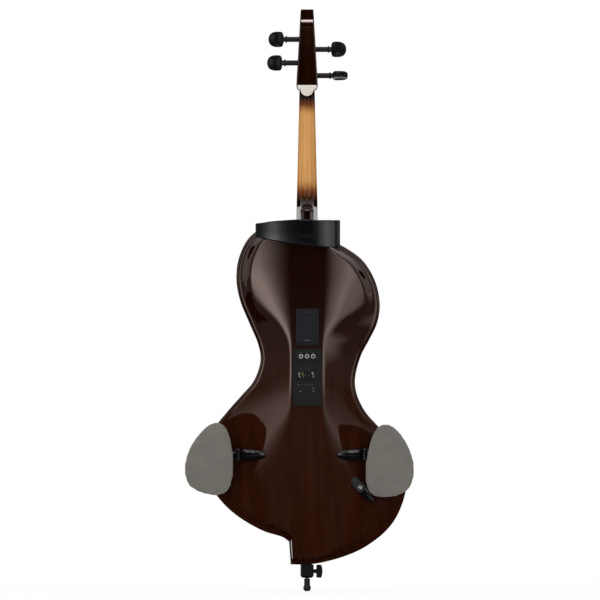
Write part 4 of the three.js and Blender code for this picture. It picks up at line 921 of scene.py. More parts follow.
def neck_shaft():
    table = np.array(NECK_TABLE)
    heights = [743, 770, 790, 800, 808, 815, 819, *np.arange(820, 866, 0.75), *np.linspace(868, 1098, 24)]
    columns = []
    for column in (1, 2, 3):
        line = np.array(catmull(list(zip(table[:, 0], table[:, column])), False, 12))
        columns.append(np.interp(heights, line[:, 0], line[:, 1]))
    return skin("neck_shaft", [neck_ring(*row) for row in zip(heights, *columns)], 50)


def head_half(height):
    return float(np.interp(height, [1087, 1258], [23.8, 13.8]))


def arc(u, v, radius, start):
    """Five points of a quarter circle round a middle, from an angle in degrees."""
    angles = [math.radians(start + 22.5 * k) for k in range(5)]
    return [(u + radius * math.cos(a), v + radius * math.sin(a)) for a in angles]


def head_ring(height, back, front, corner, inset):
    half = head_half(height) - inset
    ring = []
    for x0, y0, start in ((half, front, 90), (-half, front, 180), (-half, back, 270), (half, back, 0)):
        cx = x0 - math.copysign(corner, x0)
        cy = y0 - corner if y0 == front else y0 + corner
        if start == 0:
            ring.append((cx - 0.5, y0, height))
        ring += [(x, y, height) for x, y in arc(cx, cy, corner, start - 90)]
        if start == 270:
            ring.append((cx + 0.5, y0, height))
    return ring


def head_block():
    heights = [
        1085, 1087, 1090, 1094.2, 1095.0, 1100.7, 1130, 1160, 1190, 1218, 1228.8, 1229.4, 1229.8, 1238.6,
        1239.0, 1239.6, 1249, 1255.5, 1256.9, 1258,
    ]
    rings = []
    for height in heights:
        back = float(np.interp(height, *zip(*HEAD_BACK)))
        front = float(np.interp(height, *zip(*HEAD_FRONT)))
        inset = {1085: 4.5, 1087: 2.4, 1090: 1.0, 1258: 1.2}.get(height, 0.0)
        rings.append(head_ring(height, back, front, 2.2, inset))
    return skin("head_block", rings, 30)


def chin_outline(inset):
    """Bar with round corners and a half-round drop under it, seen from the back."""
    half, low, drop, r = 22.3 - inset, 1083.2 + inset, 15.6 - inset, 5.4 - 0.5 * inset
    turns = np.radians(np.linspace(0, 90, 6))
    points = [(-half, CHIN_TOP)]
    points += [(-half + r - r * math.cos(a), low + r - r * math.sin(a)) for a in turns]
    points += [(drop * math.cos(a), low + drop * math.sin(a)) for a in np.radians(np.linspace(180, 360, 29))]
    points += [(half - r + r * math.sin(a), low + r - r * math.cos(a)) for a in turns]
    return [*points, (half, CHIN_TOP)]


def chin():
    """The underside of the head, cut to a slanting face."""
    def ring(inset, depth):
        return [(x, 8.0 + 0.8 * (CHIN_TOP - z) + depth, z) for x, z in chin_outline(inset)]

    front = [(x, 46, z) for x, z in chin_outline(0)]
    return skin("chin", [ring(1.9, 0), ring(1.6, 0.35), ring(0.9, 1.2), ring(0, 2.6), front], 34)


def peg_axes():
    """The string's letter and the middle of each peg, in metres."""
    joints = [joint for joint in frame["joints"] if joint["name"].startswith("peg_turn_")]
    return [(joint["name"][-1], joint["pos_m"]) for joint in joints]


class CELLO_OT_neck(bpy.types.Operator):
    """Neck, heel and head, with the nut and the fingerboard"""
    bl_idname = "cello.neck"
    bl_label = "Neck"

    def execute(self, context):
        cutters = [skin("slot", [
            [(x, y, z) for x, y in ((half, floor), (half, 70), (-half, 70), (-half, floor))]
            for z, half, floor in ((1098, 11.5, 16.4), (1215, 8.0, 7.5))
        ])]
        for _, (_, y, z) in peg_axes():
            cutters.append(turned("hole", [(6.05, -40), (6.05, 40)], 32, "x", (0, y * 1000, z * 1000)))
        head = cut(head_block(), cutters)
        piece = joined("neck_wood", [neck_shaft(), head, chin()], 34)
        settle(piece, BASE_BODY, "neck_maple", ["neck"])
        refine("fingerboard", "fingerboard_ebony", 0.8, 3, "ebony")
        refine("nut", "nut_bone", 0.5, 2, "bone")
        return {"FINISHED"}


class CELLO_OT_bridge(bpy.types.Operator):
    """Bridge, its pickup, the tailpiece, its loop and post, and the fine tuners"""
    bl_idname = "cello.bridge"
    bl_label = "Bridge and tailpiece"

    def execute(self, context):
        refine("bridge", "bridge_cut", 0.6, 2, "bridge_maple")
        refine("bridge_pickup", "pickup_strip", 0.5, 2, "pickup_metal")
        refine("tailpiece", "tailpiece_ebony", 1.0, 3, "ebony")
        refine("tail_post", "tail_button", 0.6, 2, "dark_metal")
        coat("tail_loop", "dark_cord")
        ribs = knurl_tree("nickel")
        for name in STRINGS:
            node, body = "fine_tuner_" + name, "fine_tuner_body_" + name
            refine(node, "tuner_" + name, 0.4, 2, "nickel", body)
            low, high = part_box(node)
            middle = ((low[0] + high[0]) / 2, high[1] - 0.0041, (low[2] + high[2]) / 2)
            values = {"Ribs": 26, "Radius": 0.00385, "Length": 0.0062, "Rib": 0.00032}
            piece = grown("knurl_" + name, ribs, values, Matrix.Translation(middle) @ quarter("X"))
            settle(piece, body, "nickel", ())
        return {"FINISHED"}


# Radius of each string's wire, mm
WIRES = {"a": 0.5, "d": 0.6, "g": 0.75, "c": 0.9}


class CELLO_OT_strings(bpy.types.Operator):
    """Strings and their windings on the pegs"""
    bl_idname = "cello.strings"
    bl_label = "Strings"

    def execute(self, context):
        tree = winding_tree("string_steel")
        for name, (_, y, z) in peg_axes():
            coat("string_" + name, "string_steel")
            low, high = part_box("winding_" + name)
            wire = WIRES[name] * 0.001
            values = {
                "Turns": 2.0 + 0.5 * (name in "cg"), "Radius": 0.00605 + wire,
                "Length": high[0] - low[0] - 2 * wire, "Wire": wire,
            }
            matrix = Matrix.Translation((low[0] + wire, y, z)) @ quarter("Y")
            piece = grown("turns_" + name, tree, values, matrix)
            settle(piece, "tuning_peg_" + name, "string_steel", ["winding_" + name])
        return {"FINISHED"}


# How far the grip stands off the head, and the grip's length, half height and half thickness, mm
PEG_REACH, GRIP_LONG, GRIP_TALL, GRIP_THICK = 33, 33, 16.8, 6.5
# The grip's outline as shares of length and half height, and its crown of the outline and thickness
GRIP = (
    (0, 0.3), (0.03, 0.66), (0.11, 0.93), (0.3, 1.0), (0.6, 0.97), (0.83, 0.78), (0.96, 0.42), (1, 0),
)
GRIP_CROWN = (
    (0.0, -0.62), (0.35, -0.66), (0.62, -0.78), (0.8, -0.94), (0.88, -1), (0.94, -0.94), (0.985, -0.72),
    (1, -0.3), (1, 0.3), (0.985, 0.72), (0.94, 0.94), (0.88, 1), (0.8, 0.94), (0.62, 0.78), (0.35, 0.66),
    (0.0, 0.62),
)


def peg(name, out, place, box_half, degrees):
    """Shaft, collar and thumb grip along X, turned about its axis and put in place."""
    start = box_half + PEG_REACH
    shaft = turned("peg_shaft_" + name, [
        (0, -box_half), (5.2, -box_half), (5.6, 0.5 - box_half), (5.75, 1.5 - box_half), (5.75, start - 7.6),
        (6.4, start - 7.2), (7.6, start - 6.4), (7.9, start - 5.4), (7.4, start - 4.4), (6.0, start - 3.7),
        (5.4, start - 2.4), (5.6, start - 0.6), (6.4, start + 1.2), (6.4, start + 3), (0, start + 3),
    ], 36, "x")
    half = [(GRIP_LONG * x, GRIP_TALL * y) for x, y in GRIP]
    line = catmull([*half, *[(x, -y) for x, y in reversed(half[:-1])]], True, 5)
    middle = 0.46 * GRIP_LONG
    grip = skin("peg_grip_" + name, [
        [(start + middle + share * (x - middle), GRIP_THICK * level, share * y) for x, y in line]
        for share, level in GRIP_CROWN
    ], 60)
    turn = Matrix.Rotation(math.radians(degrees), 4, "X")
    face = Matrix.Rotation(math.radians(180 if out < 0 else 0), 4, "Z")
    for piece in (shaft, grip):
        piece.data.transform(Matrix.Translation(place) @ turn @ face)
    return shaft, grip


class CELLO_OT_pegs(bpy.types.Operator):
    """Tuning pegs"""
    bl_idname = "cello.pegs"
    bl_label = "Pegs"

    def execute(self, context):
        turns = {"c": 75, "a": 4, "g": -6, "d": 2}
        for name, place in peg_axes():
            place = Vector(place)
            out = -1 if name in "ad" else 1
            shaft, grip = peg(name, out, place, head_half(place.z * 1000), turns[name])
            settle(shaft, "tuning_peg_" + name, "peg_wood", ["peg_" + name])
            settle(grip, "tuning_peg_" + name, "peg_ebony", ())
        return {"FINISHED"}


class CELLO_OT_endpin(bpy.types.Operator):
    """Endpin with its collar, rod, rubber foot and wing screw"""
    bl_idname = "cello.endpin"
    bl_label = "Endpin"

    def execute(self, context):
        refine("endpin_collar", "collar", 0.5, 2, "collar_plastic")
        refine("wing_screw", "wing", 1.0, 3, "collar_plastic", "endpin_lock")
        coat("endpin_rod", "bright_steel")
        refine("endpin_foot", "foot_ball", 0.4, 2, "foot_rubber", "endpin")
        return {"FINISHED"}


# The chest band's top and bottom as shares of its height, by the share of its length along X
CHEST_EDGES = (
    (0, 0.862, 0.389), (0.06, 0.878, 0.344), (0.18, 0.932, 0.266), (0.27, 0.956, 0.224), (0.51, 1, 0.104),
    (0.72, 0.979, 0.049), (0.9, 0.976, 0.013), (1, 0.976, 0),
)
CHEST_MIDDLE = -20
CHEST_HALF = 91.4
CHEST_HEIGHT = 61.7
CHEST_FOOT = BODY_TOP + 4.7 - CHEST_HEIGHT
CHEST_DEPTH = -62
BAND_THICK = 8
# X and how much the band leans there, in degrees
CHEST_LEAN = (
    (-111.4, -18.5), (-73.4, -9.5), (-56.2, -4), (-38.9, -1.5), (0, 0), (23.8, 2.5), (38.9, 6.5), (51.8, 11),
    (60.5, 17), (65.4, 35), (71.4, 52),
)


def rounded_section(low, high, inner, outer, x, corner):
    """A flat bar's section at X, with round edges, from its low to its high side."""
    ring = []
    for z0, y0, start in ((high, inner, 0), (high, outer, 90), (low, outer, 180), (low, inner, 270)):
        cz = z0 - corner if z0 == high else z0 + corner
        cy = y0 - corner if y0 == inner else y0 + corner
        ring += [(x, y, z) for y, z in arc(cy, cz, corner, start)]
    return ring


class CELLO_OT_chest(bpy.types.Operator):
    """Chest rest, a bent band on two posts"""
    bl_idname = "cello.chest"
    bl_label = "Chest rest"

    def execute(self, context):
        shares, tops, bottoms = zip(*CHEST_EDGES)
        edges = [np.array(catmull(list(zip(shares, side)), False, 6)).T for side in (tops, bottoms)]
        across = np.linspace(CHEST_MIDDLE - CHEST_HALF, CHEST_MIDDLE + CHEST_HALF, 400)
        bend = np.cumsum(np.tan(np.radians(np.interp(across, *zip(*CHEST_LEAN))))) * (across[1] - across[0])
        bend -= bend.min()
        rings = []
        for u in (0, 0.006, 0.014, *np.linspace(0.025, 0.975, 60), 0.986, 0.994, 1):
            x = CHEST_MIDDLE + CHEST_HALF * (2 * u - 1)
            inner = CHEST_DEPTH + float(np.interp(x, across, bend))
            shrink = {0: 1.3, 0.006: 0.4, 0.994: 0.4, 1: 1.3}.get(u, 0.0)
            top, low = (CHEST_FOOT + CHEST_HEIGHT * float(np.interp(u, *edge)) for edge in edges)
            outer = inner - BAND_THICK + shrink
            rings.append(rounded_section(low + shrink, top - shrink, inner - shrink, outer, x, 2.2))
        band = skin("band", rings, 40)
        post = [(7, -64), (7, -40), (9.5, -35), (10, -20)]
        places = [(x, 0, BODY_TOP - 37) for x in (CHEST_MIDDLE - 39, CHEST_MIDDLE + 39)]
        posts = [turned("post", post, 32, "y", place) for place in places]
        piece = joined("chest_band", [band, *posts], 40)
        settle(piece, BASE_BODY, "band_black", ["chest_rest"])
        return {"FINISHED"}


# A cover's half width and height as shares, by the share of its length from the tip
BULLET = (
    (-0.003, 0.05, 0.35), (0, 0.18, 0.5), (0.015, 0.34, 0.66), (0.05, 0.49, 0.78), (0.12, 0.62, 0.87),
    (0.2, 0.74, 0.93), (0.45, 0.93, 1), (0.72, 1, 1), (0.93, 1, 0.99), (0.985, 0.96, 0.95), (1, 0.86, 0.84),
)
# Shares of a pad's outline and thickness, from its back to its front
PAD_CROWN = (
    (0.93, 0.02), (0.985, 0.2), (1, 0.45), (0.985, 0.72), (0.93, 0.9), (0.8, 0.97), (0.45, 1),
)
PIN_X = {"left": -150.08, "right": 124.992}
PIN_Z = 294.8
PAD_VOXEL = 0.0042
PIN_Y = -40.0


def bullet(name, tip, end, half, base, rise, deep):
    """A streamlined cover along X on the back, from its pointed tip to its blunt end."""
    table = np.array(catmull([(along, wide) for along, wide, high in BULLET], False, 5))
    tops = np.array(catmull([(along, high) for along, wide, high in BULLET], False, 5))
    rings = []
    for along, wide in table:
        high = float(np.interp(along, tops[:, 0], tops[:, 1]))
        x = tip + (end - tip) * along
        reach, lift = half * max(wide, 0.01), rise * high
        ring = [(x, deep, PIN_Z + reach)]
        for k in range(25):
            a = math.pi * k / 24
            ring.append((x, base - lift * math.sin(a) ** 0.8, PIN_Z + reach * math.cos(a)))
        ring.append((x, deep, PIN_Z - reach))
        rings.append(ring)
    return skin(name, rings, 50)


def rest_bracket(side):
    """Bullet cover with two ears round the hinge pin."""
    inward = 1 if side == "left" else -1
    x = PIN_X[side]
    cover = bullet("cover", x + inward * 60.8, x + inward * 8.4, 13, -36, 10.5, -29)
    parts = [cover]
    for z0, z1 in ((281.8, 288.3), (301.3, 307.8)):
        ear = [(0, z0), (5.7, z0), (6.3, z0 + 0.5), (6.5, z0 + 1.1)]
        ear += [(6.5, z1 - 1.1), (6.3, z1 - 0.5), (5.7, z1), (0, z1)]
        parts.append(turned("ear", ear, 36, "z", (x, PIN_Y, 0)))
        near, far = sorted((x, x + inward * 12))
        parts.append(block("web", (near, PIN_Y - 5.6, z0 + 0.6), (far, PIN_Y + 6.4, z1 - 0.6)))
    return joined("bracket_" + side, parts, 40)


def rest_pad(side):
    """Egg-shaped pad, smaller than its finished size, ready to swell."""
    turn = math.radians(5 if side == "right" else 0)
    flip = -1 if side == "right" else 1
    low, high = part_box("pad_" + side)
    look = bpy.context.scene.cello_rests
    outline = np.array(catmull([(x, z) for x, z in PAD_OUTLINE], True, 4))
    half, tall = look.pad_half - look.swell, look.pad_half_height - look.swell
    xs, zs = flip * outline[:, 0] * half, outline[:, 1] * tall
    c, d = math.cos(turn), math.sin(turn)
    px, pz = xs * c + zs * d, -xs * d + zs * c
    cx = (low[0] + high[0]) * 500 - (px.max() + px.min()) / 2
    cz = (low[2] + high[2]) * 500 - (pz.max() + pz.min()) / 2
    back, front = high[1] * 1000 - 0.7, low[1] * 1000 + look.swell
    rings = []
    for share, level in PAD_CROWN:
        inset = (1 - share) * half
        scale_x, scale_z = 1 - inset / half, 1 - inset / tall
        y = back + (front - back) * level
        rings.append([(cx + x * scale_x, y, cz + z * scale_z) for x, z in zip(px, pz)])
    return skin("pad_cloth_" + side, rings, 180)


def fitted(piece, node):
    """Scales a piece's mesh to the box of the node that it stands for."""
    low, high = (np.array(corner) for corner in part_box(node))
    spots = spots_of(piece)
    least, most = spots.min(axis=0), spots.max(axis=0)
    spots = low + (spots - least) * ((high - low) / (most - least))
    piece.data.vertices.foreach_set("co", spots.astype(np.float32).ravel())
    piece.data.update()
    return piece


class CELLO_OT_rests(bpy.types.Operator):
    """Knee rests: brackets, arms, pins, plates and pads"""
    bl_idname = "cello.rests"
    bl_label = "Knee rests"

    def execute(self, context):
        look = context.scene.cello_rests
        for side in SIDES:
            settle(rest_bracket(side), BASE_BODY, "gloss_black", ["rest_bracket_" + side])
            refine("rest_pin_" + side, "pin_" + side, 0.5, 2, "dark_metal")
            refine("rest_arm_" + side, "arm_" + side, 0.8, 3, "gloss_black", "rest_fold_" + side)
            refine("pad_plate_" + side, "plate_" + side, 0.6, 2, "satin_plastic", "rest_pad_" + side)
            pad = fitted(padded(rest_pad(side), PAD_VOXEL, look.swell * 0.001), "pad_" + side)
            settle(pad, "rest_pad_" + side, "pad_felt", ["pad_" + side])
        return {"FINISHED"}


class CELLO_OT_support(bpy.types.Operator):
    """Small side support with its arm and screw"""
    bl_idname = "cello.support"
    bl_label = "Side support"

    def execute(self, context):
        refine("support_bracket", "support_base", 0.8, 3, "gloss_black")
        refine("support_arm", "support_swing", 0.5, 2, "grey_rubber", "side_support")
        refine("support_screw", "support_bolt", 0.4, 2, "nickel")
        return {"FINISHED"}


# Depths of the panel's and the raised bar's printed faces, and the mark on each slider
PANEL_FACE, BAR_FACE = -44.55, -49.55
SLIDER_MARKS = ("mark_rose", "mark_olive", "mark_dim", "mark_dim", "mark_pale")
# Radius and Y of a socket's ring and barrel, and of the lamp's lens
SOCKET_RING = (
    (3.1, -30), (3.1, -50.5), (3.2, -50.8), (3.4, -51.0), (3.75, -51.1), (4.1, -50.95), (4.3, -50.6),
    (4.4, -49.9), (4.4, -49.5), (4.1, -49.45), (4.1, -30),
)
SOCKET_BARREL = ((0, -49), (2.9, -49), (2.9, -30), (6.2, -30), (6.2, -23.5), (0, -23.5))
LAMP_LENS = ((0, -45.6), (1.2, -45.5), (1.75, -45.1), (1.75, -44.45), (0, -44.45))
# Rows of printed dots: how many, X, Z, width of the row, size
DOTS = {
    "mark_dim": ((5, -3.9, 480.4, 29.4, 0.55), (5, -3.9, 453.2, 29.4, 0.4)),
    "mark_grey": ((5, -3.9, 446.4, 29.4, 0.75),),
    "mark_pale": ((3, 0, 514.9, 26.4, 0.45),),
}


def line_on(name, node, low_inset, high_inset):
    """A thin printed block on a knob's outer face, inset from the corners of the knob's box."""
    low, high = (np.array(corner) * 1000 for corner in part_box(node))
    (x0, y0, z0), (x1, y1, z1) = low_inset, high_inset
    return block(name, (low[0] + x0, low[1] - y0, low[2] + z0), (high[0] - x1, low[1] + y1, high[2] - z1))


class CELLO_OT_preamp(bpy.types.Operator):
    """Preamp panel with its sockets, sliders, buttons, printed dots and board"""
    bl_idname = "cello.preamp"
    bl_label = "Preamp"

    def execute(self, context):
        refine("preamp_panel", "panel", context.scene.cello_parts.edge, 2, "satin_plastic")
        for k in (1, 2, 3):
            node = f"jack_{k}"
            low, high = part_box(node)
            place = ((low[0] + high[0]) * 500, 0, (low[2] + high[2]) * 500)
            ring = turned(f"socket_{k}", SOCKET_RING, 40, "y", place, 40)
            close_ring(ring)
            settle(ring, BASE_BODY, "ring_nickel", [node])
            settle(turned(f"barrel_{k}", SOCKET_BARREL, 32, "y", place), BASE_BODY, "socket_dark")
        for k, mark in enumerate(SLIDER_MARKS, 1):
            node, body = f"slider_{k}", f"slider_body_{k}"
            refine(node, f"fader_{k}", 0.25, 2, "satin_plastic", body)
            settle(line_on(f"fader_line_{k}", node, (1.0, 0.15, 0.2), (1.0, 0.3, 0.2)), body, mark)
            if mark != "mark_dim":
                low, high = (np.array(corner) * 1000 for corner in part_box(node))
                x = (low[0] + high[0]) / 2
                settle(block(f"strip_{k}", (x + 1.9, -44.6, 462.5), (x + 2.8, -44.45, 474)), BASE_BODY, mark)
        for k in (1, 2):
            node, body = f"button_{k}", f"button_body_{k}"
            refine(node, f"key_{k}", 0.4, 2, "satin_plastic", body)
            settle(line_on(f"key_line_{k}", node, (1.6, 0.12, 1.4), (1.6, 0.3, 1.5)), body, "mark_grey")
        for look, rows in DOTS.items():
            tree = dots_tree("Dots " + look, look)
            printed = []
            for columns, x, z, width, size in rows:
                face = BAR_FACE if z > 500 else PANEL_FACE
                values = {"Columns": columns, "Width": width * 0.001, "Size": size * 0.001}
                matrix = Matrix.Translation((x * 0.001, face * 0.001, z * 0.001)) @ quarter("X")
                printed.append(grown("row", tree, values, matrix))
            settle(joined("dots_" + look, printed), BASE_BODY, look)
        # A near-black strip under the raised bar paints its shadow.
        settle(block("bar_seam", (-30, -44.7, 497.3), (31.8, -44.4, 500.5)), BASE_BODY, "socket_dark")
        settle(turned("lamp_lens", LAMP_LENS, 24, "y", (13.4, 0, 438.6)), BASE_BODY, "lens_brown")
        coat("circuit_board", "board_green")
        return {"FINISHED"}


def close_ring(piece):
    """Joins the two ends of a turned tube, whose profile starts and ends at its back."""
    shape = bmesh.new()
    shape.from_mesh(piece.data)
    big = sorted(shape.faces, key=lambda f: -len(f.verts))[:2]
    bmesh.ops.delete(shape, geom=big, context="FACES_ONLY")
    loose = [e for e in shape.edges if e.is_boundary]
    bmesh.ops.bridge_loops(shape, edges=loose)
    bmesh.ops.recalc_face_normals(shape, faces=shape.faces)
    shape.to_mesh(piece.data)
    shape.free()
    crease(piece.data, 40)


# Thin dark lines on the battery door that paint the shade in its latch slot and in the groove round its
# middle
DOOR_SHADE_LINES = (
    ((-6.3, -44.62, 600.4), (6.0, -44.4, 604.0)), ((-16.2, -44.58, 540.6), (-15.7, -44.4, 598.6)),
    ((17.2, -44.58, 540.6), (17.7, -44.4, 598.6)), ((-16.2, -44.58, 598.6), (17.7, -44.4, 599.1)),
    ((-16.2, -44.58, 540.1), (17.7, -44.4, 540.6)),
)


class CELLO_OT_battery(bpy.types.Operator):
    """Battery box, its door and the battery"""
    bl_idname = "cello.battery"
    bl_label = "Battery box"

    def execute(self, context):
        edge = context.scene.cello_parts.edge
        refine("battery_box", "box_frame", edge, 2, "battery_plastic")
        refine("battery_door", "box_door", edge, 2, "battery_plastic", "door")
        # Painted shade: flat dark blocks stand in for the shade in the latch slot and the groove.
        lines = [block("line", low, high) for low, high in DOOR_SHADE_LINES]
        settle(joined("door_lines", lines), "door", "socket_dark")
        settle(block("door_mark", (-6.4, -44.6, 542.0), (6.2, -44.4, 543.2)), "door", "mark_dim")
        coat("battery", "cell_label")
        return {"FINISHED"}


# Stage

def seen_ray(tree):
    """One for camera, glossy and transmission rays, which see the white background."""
    path = add(tree, "ShaderNodeLightPath").outputs
    seen = calc(tree, "MAXIMUM", path["Is Camera Ray"], path["Is Glossy Ray"])
    return calc(tree, "MAXIMUM", seen, path["Is Transmission Ray"])


def surface(tree, output, first, second=None, share=None):
    """Links a shader, or a mix of two, to the output node."""
    if second:
        first = add(tree, "ShaderNodeMixShader", {0: share, 1: first.outputs[0], 2: second.outputs[0]})
    tree.links.new(first.outputs[0], output.inputs["Surface"])


def background_material(name, tint, near_share):
    """A pale floor that is white to the camera, and near the object still takes its shadow."""
    made, tree = new_material(name)
    tree.nodes.remove(tree.nodes["Principled BSDF"])
    length = add(tree, "ShaderNodeVectorMath", {0: own_place(tree)}, operation="LENGTH").outputs["Value"]
    amount = calc(tree, "MULTIPLY", levels(tree, length, 0.3, 2.4, near_share), seen_ray(tree))
    matt, glow = add(tree, "ShaderNodeBsdfDiffuse", {"Color": tint}), add(tree, "ShaderNodeEmission")
    surface(tree, tree.nodes["Material Output"], matt, glow, amount)
    return made


def card_material(name, strength):
    """Light from a card, stronger where the card's own glow attribute is higher."""
    made, tree = new_material(name)
    tree.nodes.remove(tree.nodes["Principled BSDF"])
    glow = add(tree, "ShaderNodeAttribute", attribute_name="glow").outputs["Fac"]
    emission = add(tree, "ShaderNodeEmission", {"Strength": calc(tree, "MULTIPLY", glow, strength)})
    surface(tree, tree.nodes["Material Output"], emission)
    return made


def soft_step(value, low, high):
    t = min(max((value - low) / (high - low), 0.0), 1.0)
    return t * t * (3 - 2 * t)


def sheet(name, points, faces, glow, strength):
    """A studio sheet that only reflections see, with its glow point by point."""
    mesh = bpy.data.meshes.new(name)
    mesh.from_pydata(points, [], faces)
    mesh.attributes.new("glow", "FLOAT", "POINT").data.foreach_set("value", np.array(glow, dtype=np.float32))
    mesh.materials.append(card_material(name, strength))
    piece = link(mesh, name)
    for ray in ("camera", "diffuse", "shadow", "transmission"):
        setattr(piece, "visible_" + ray, False)


def card(name, corner, across, up, strength, shape):
    """A flat card. Its shape gives the glow at shares of its width and height."""
    steps = 28
    row = steps + 1
    corner, across, up = Vector(corner), Vector(across), Vector(up)
    shares = [(i / steps, j / steps) for j in range(row) for i in range(row)]
    points = [corner + across * u + up * v for u, v in shares]
    corners = [j * row + i for j in range(steps) for i in range(steps)]
    faces = [(a, a + 1, a + row + 1, a + row) for a in corners]
    sheet(name, points, faces, [shape(u, v) for u, v in shares], strength)


def flag(name, x, z, half, tall):
    """An oval black card close to a knee pad, which darkens the lacquer behind the pad in reflections."""
    turns = np.radians(np.linspace(0, 360, 48, endpoint=False))
    centre = Vector((x, -0.135, z))
    points = [centre + Vector((half * math.cos(a), 0, tall * math.sin(a))) for a in turns]
    sheet(name, points, [tuple(range(len(points)))], np.zeros(len(points)), 0.0)


def standing(azimuth, distance, half_width, low, high):
    """Corner and edges of an upright card that faces the object from an azimuth."""
    a = math.radians(azimuth)
    centre = Vector((distance * math.sin(a), -distance * math.cos(a), low))
    along = Vector((math.cos(a), math.sin(a), 0))
    return centre - along * half_width, along * 2 * half_width, Vector((0, 0, high - low))


def lamp(name, place, target, width, height, power):
    light = bpy.data.lights.new(name, "AREA")
    light.shape = "RECTANGLE"
    light.size, light.size_y, light.energy = width, height, power
    holder = link(light, name)
    holder.location = place
    holder.rotation_euler = (Vector(target) - Vector(place)).to_track_quat("-Z", "Y").to_euler()
    holder.visible_glossy = False


def soft_edges(u, v, side=0.3, top=0.2):
    return soft_step(u, 0, side) * soft_step(1 - u, 0, side) * soft_step(v, 0, top) * soft_step(1 - v, 0, top)


# The two tall cards beside the camera: glow by azimuth in degrees, and its share by height in metres
BOX_MIDDLE, BOX_DISTANCE, BOX_TALL, BOX_OUT = 21.0, 1.25, 1.5, 0.075


def box_card(name, side, strength, levels_by_angle, levels_by_height):
    """A tall card on one side of the camera, with its glow given by azimuth and by height."""
    tangent = math.tan(math.radians(BOX_MIDDLE))

    def shape(u, v):
        angle = BOX_MIDDLE + side * math.degrees(math.atan((2 * u - 1) * tangent))
        z = v * BOX_TALL
        dim = 0.055 * soft_step(0.5 - z, 0, 0.2) * soft_step(18 - angle, 0, 6)
        dim = max(dim, 0.045 * soft_step(angle, 24, 28))
        glow = np.interp(angle, *zip(*levels_by_angle)) * np.interp(z, *zip(*levels_by_height))
        return max(float(glow), dim)

    corner, across, up = standing(side * BOX_MIDDLE, BOX_DISTANCE, BOX_DISTANCE * tangent, 0.0, BOX_TALL)
    card(name, corner + Vector((side * BOX_OUT, 0, 0)), across, up, strength, shape)


LEFT_GLOW = (
    (0, 0.02), (2, 0.06), (5, 0.17), (8, 0.34), (11, 0.58), (13, 0.72), (15, 0.95), (19, 1.0), (23, 0.92),
    (26, 0.66), (29, 0.34), (33, 0.12), (38, 0.07), (42, 0.05),
)
RIGHT_GLOW = (
    (0, 0.0), (2, 0.1), (3.5, 0.25), (6, 0.45), (10, 0.7), (13, 0.95), (16, 0.9), (19, 0.66), (30, 0.58),
    (34, 0.46), (37, 0.22), (40, 0.08), (42, 0.06),
)
LEFT_HEIGHTS = (
    (0.24, 0.0), (0.29, 0.3), (0.35, 0.6), (0.39, 0.9), (0.43, 1.0), (0.62, 1.0), (0.69, 0.8), (0.75, 0.62),
    (1.02, 0.6), (1.2, 0.3), (1.5, 0.12),
)
RIGHT_HEIGHTS = (
    (0.27, 0.0), (0.33, 0.5), (0.4, 0.9), (0.45, 1.0), (1.02, 1.0), (1.2, 0.3), (1.5, 0.12),
)


def far_wall(u, v):
    """A low dim zone in the middle behind the camera and a taller one at each side."""
    off = abs(2 * u - 1)
    low = 1.6 * soft_step(0.62 - off, 0, 0.12) * (1 - soft_step(v, 0.03, 0.085)) * soft_step(v, 0.006, 0.012)
    return max(low, 0.8 * soft_step(off - 0.27, 0, 0.1) * (1 - soft_step(v, 0.25, 0.4)))


def floor_sheet(u, v):
    return soft_step(v - 0.33, 0, 0.06) * soft_step(0.78 - v, 0, 0.02) * soft_step(1 - abs(2 * u - 1), 0, 0.3)


def rear_flag(u, v):
    z = 1.7 * v
    return 1 - soft_step(z, 0.74, 0.77) + 3.3 * soft_step(z, 0.74, 0.77) * (1 - soft_step(z, 0.83, 0.86))


def studio_cards(look):
    rear = look.rear_glow
    box_card("card_left", -1, look.left_glow, LEFT_GLOW, LEFT_HEIGHTS)
    box_card("card_right", 1, look.right_glow, RIGHT_GLOW, RIGHT_HEIGHTS)
    for side, name in zip((-1, 1), SIDES):
        card("card_side_" + name, *standing(side * 72, 2.4, 0.2, 0.45, 2.0), look.side_glow, soft_edges)
        card("flag_side_" + name, *standing(side * 71, 2.6, 0.75, 0.0, 0.47), rear, lambda u, v: 1.0)
        card("flag_waist_" + name, *standing(side * 49, 1.3, 0.16, 0.0, 0.9), rear, lambda u, v: 0.8)
        card("flag_rear_" + name, (side * 2.0, 0.28, 0), (side * -1.0, 1.5, 0), (0, 0, 1.7), rear, rear_flag)
    flag("flag_left", -0.19, 0.33, 0.072, 0.09)
    flag("flag_right", 0.175, 0.325, 0.08, 0.085)
    card(
        "card_over", (-0.9, -0.3, 3.3), (1.8, 0, 0), (0, 0.6, 0), look.over_glow,
        lambda u, v: soft_edges(u, v, 0.15, 0.15),
    )
    card("card_key", (-0.2, -3.326, 3.145), (0.4, 0, 0), (0, 0.252, 0.31), look.key_glow, soft_edges)
    card("wall_front", (-14, -8, 0), (28, 0, 0), (0, 0, 8), look.dim_glow, far_wall)
    card("sheet_front", (-3.5, -8, 0.002), (7, 0, 0), (0, 8.9, 0), look.dim_glow, floor_sheet)


FLOOR_REACH, FLOOR_Z = 30, -0.0005


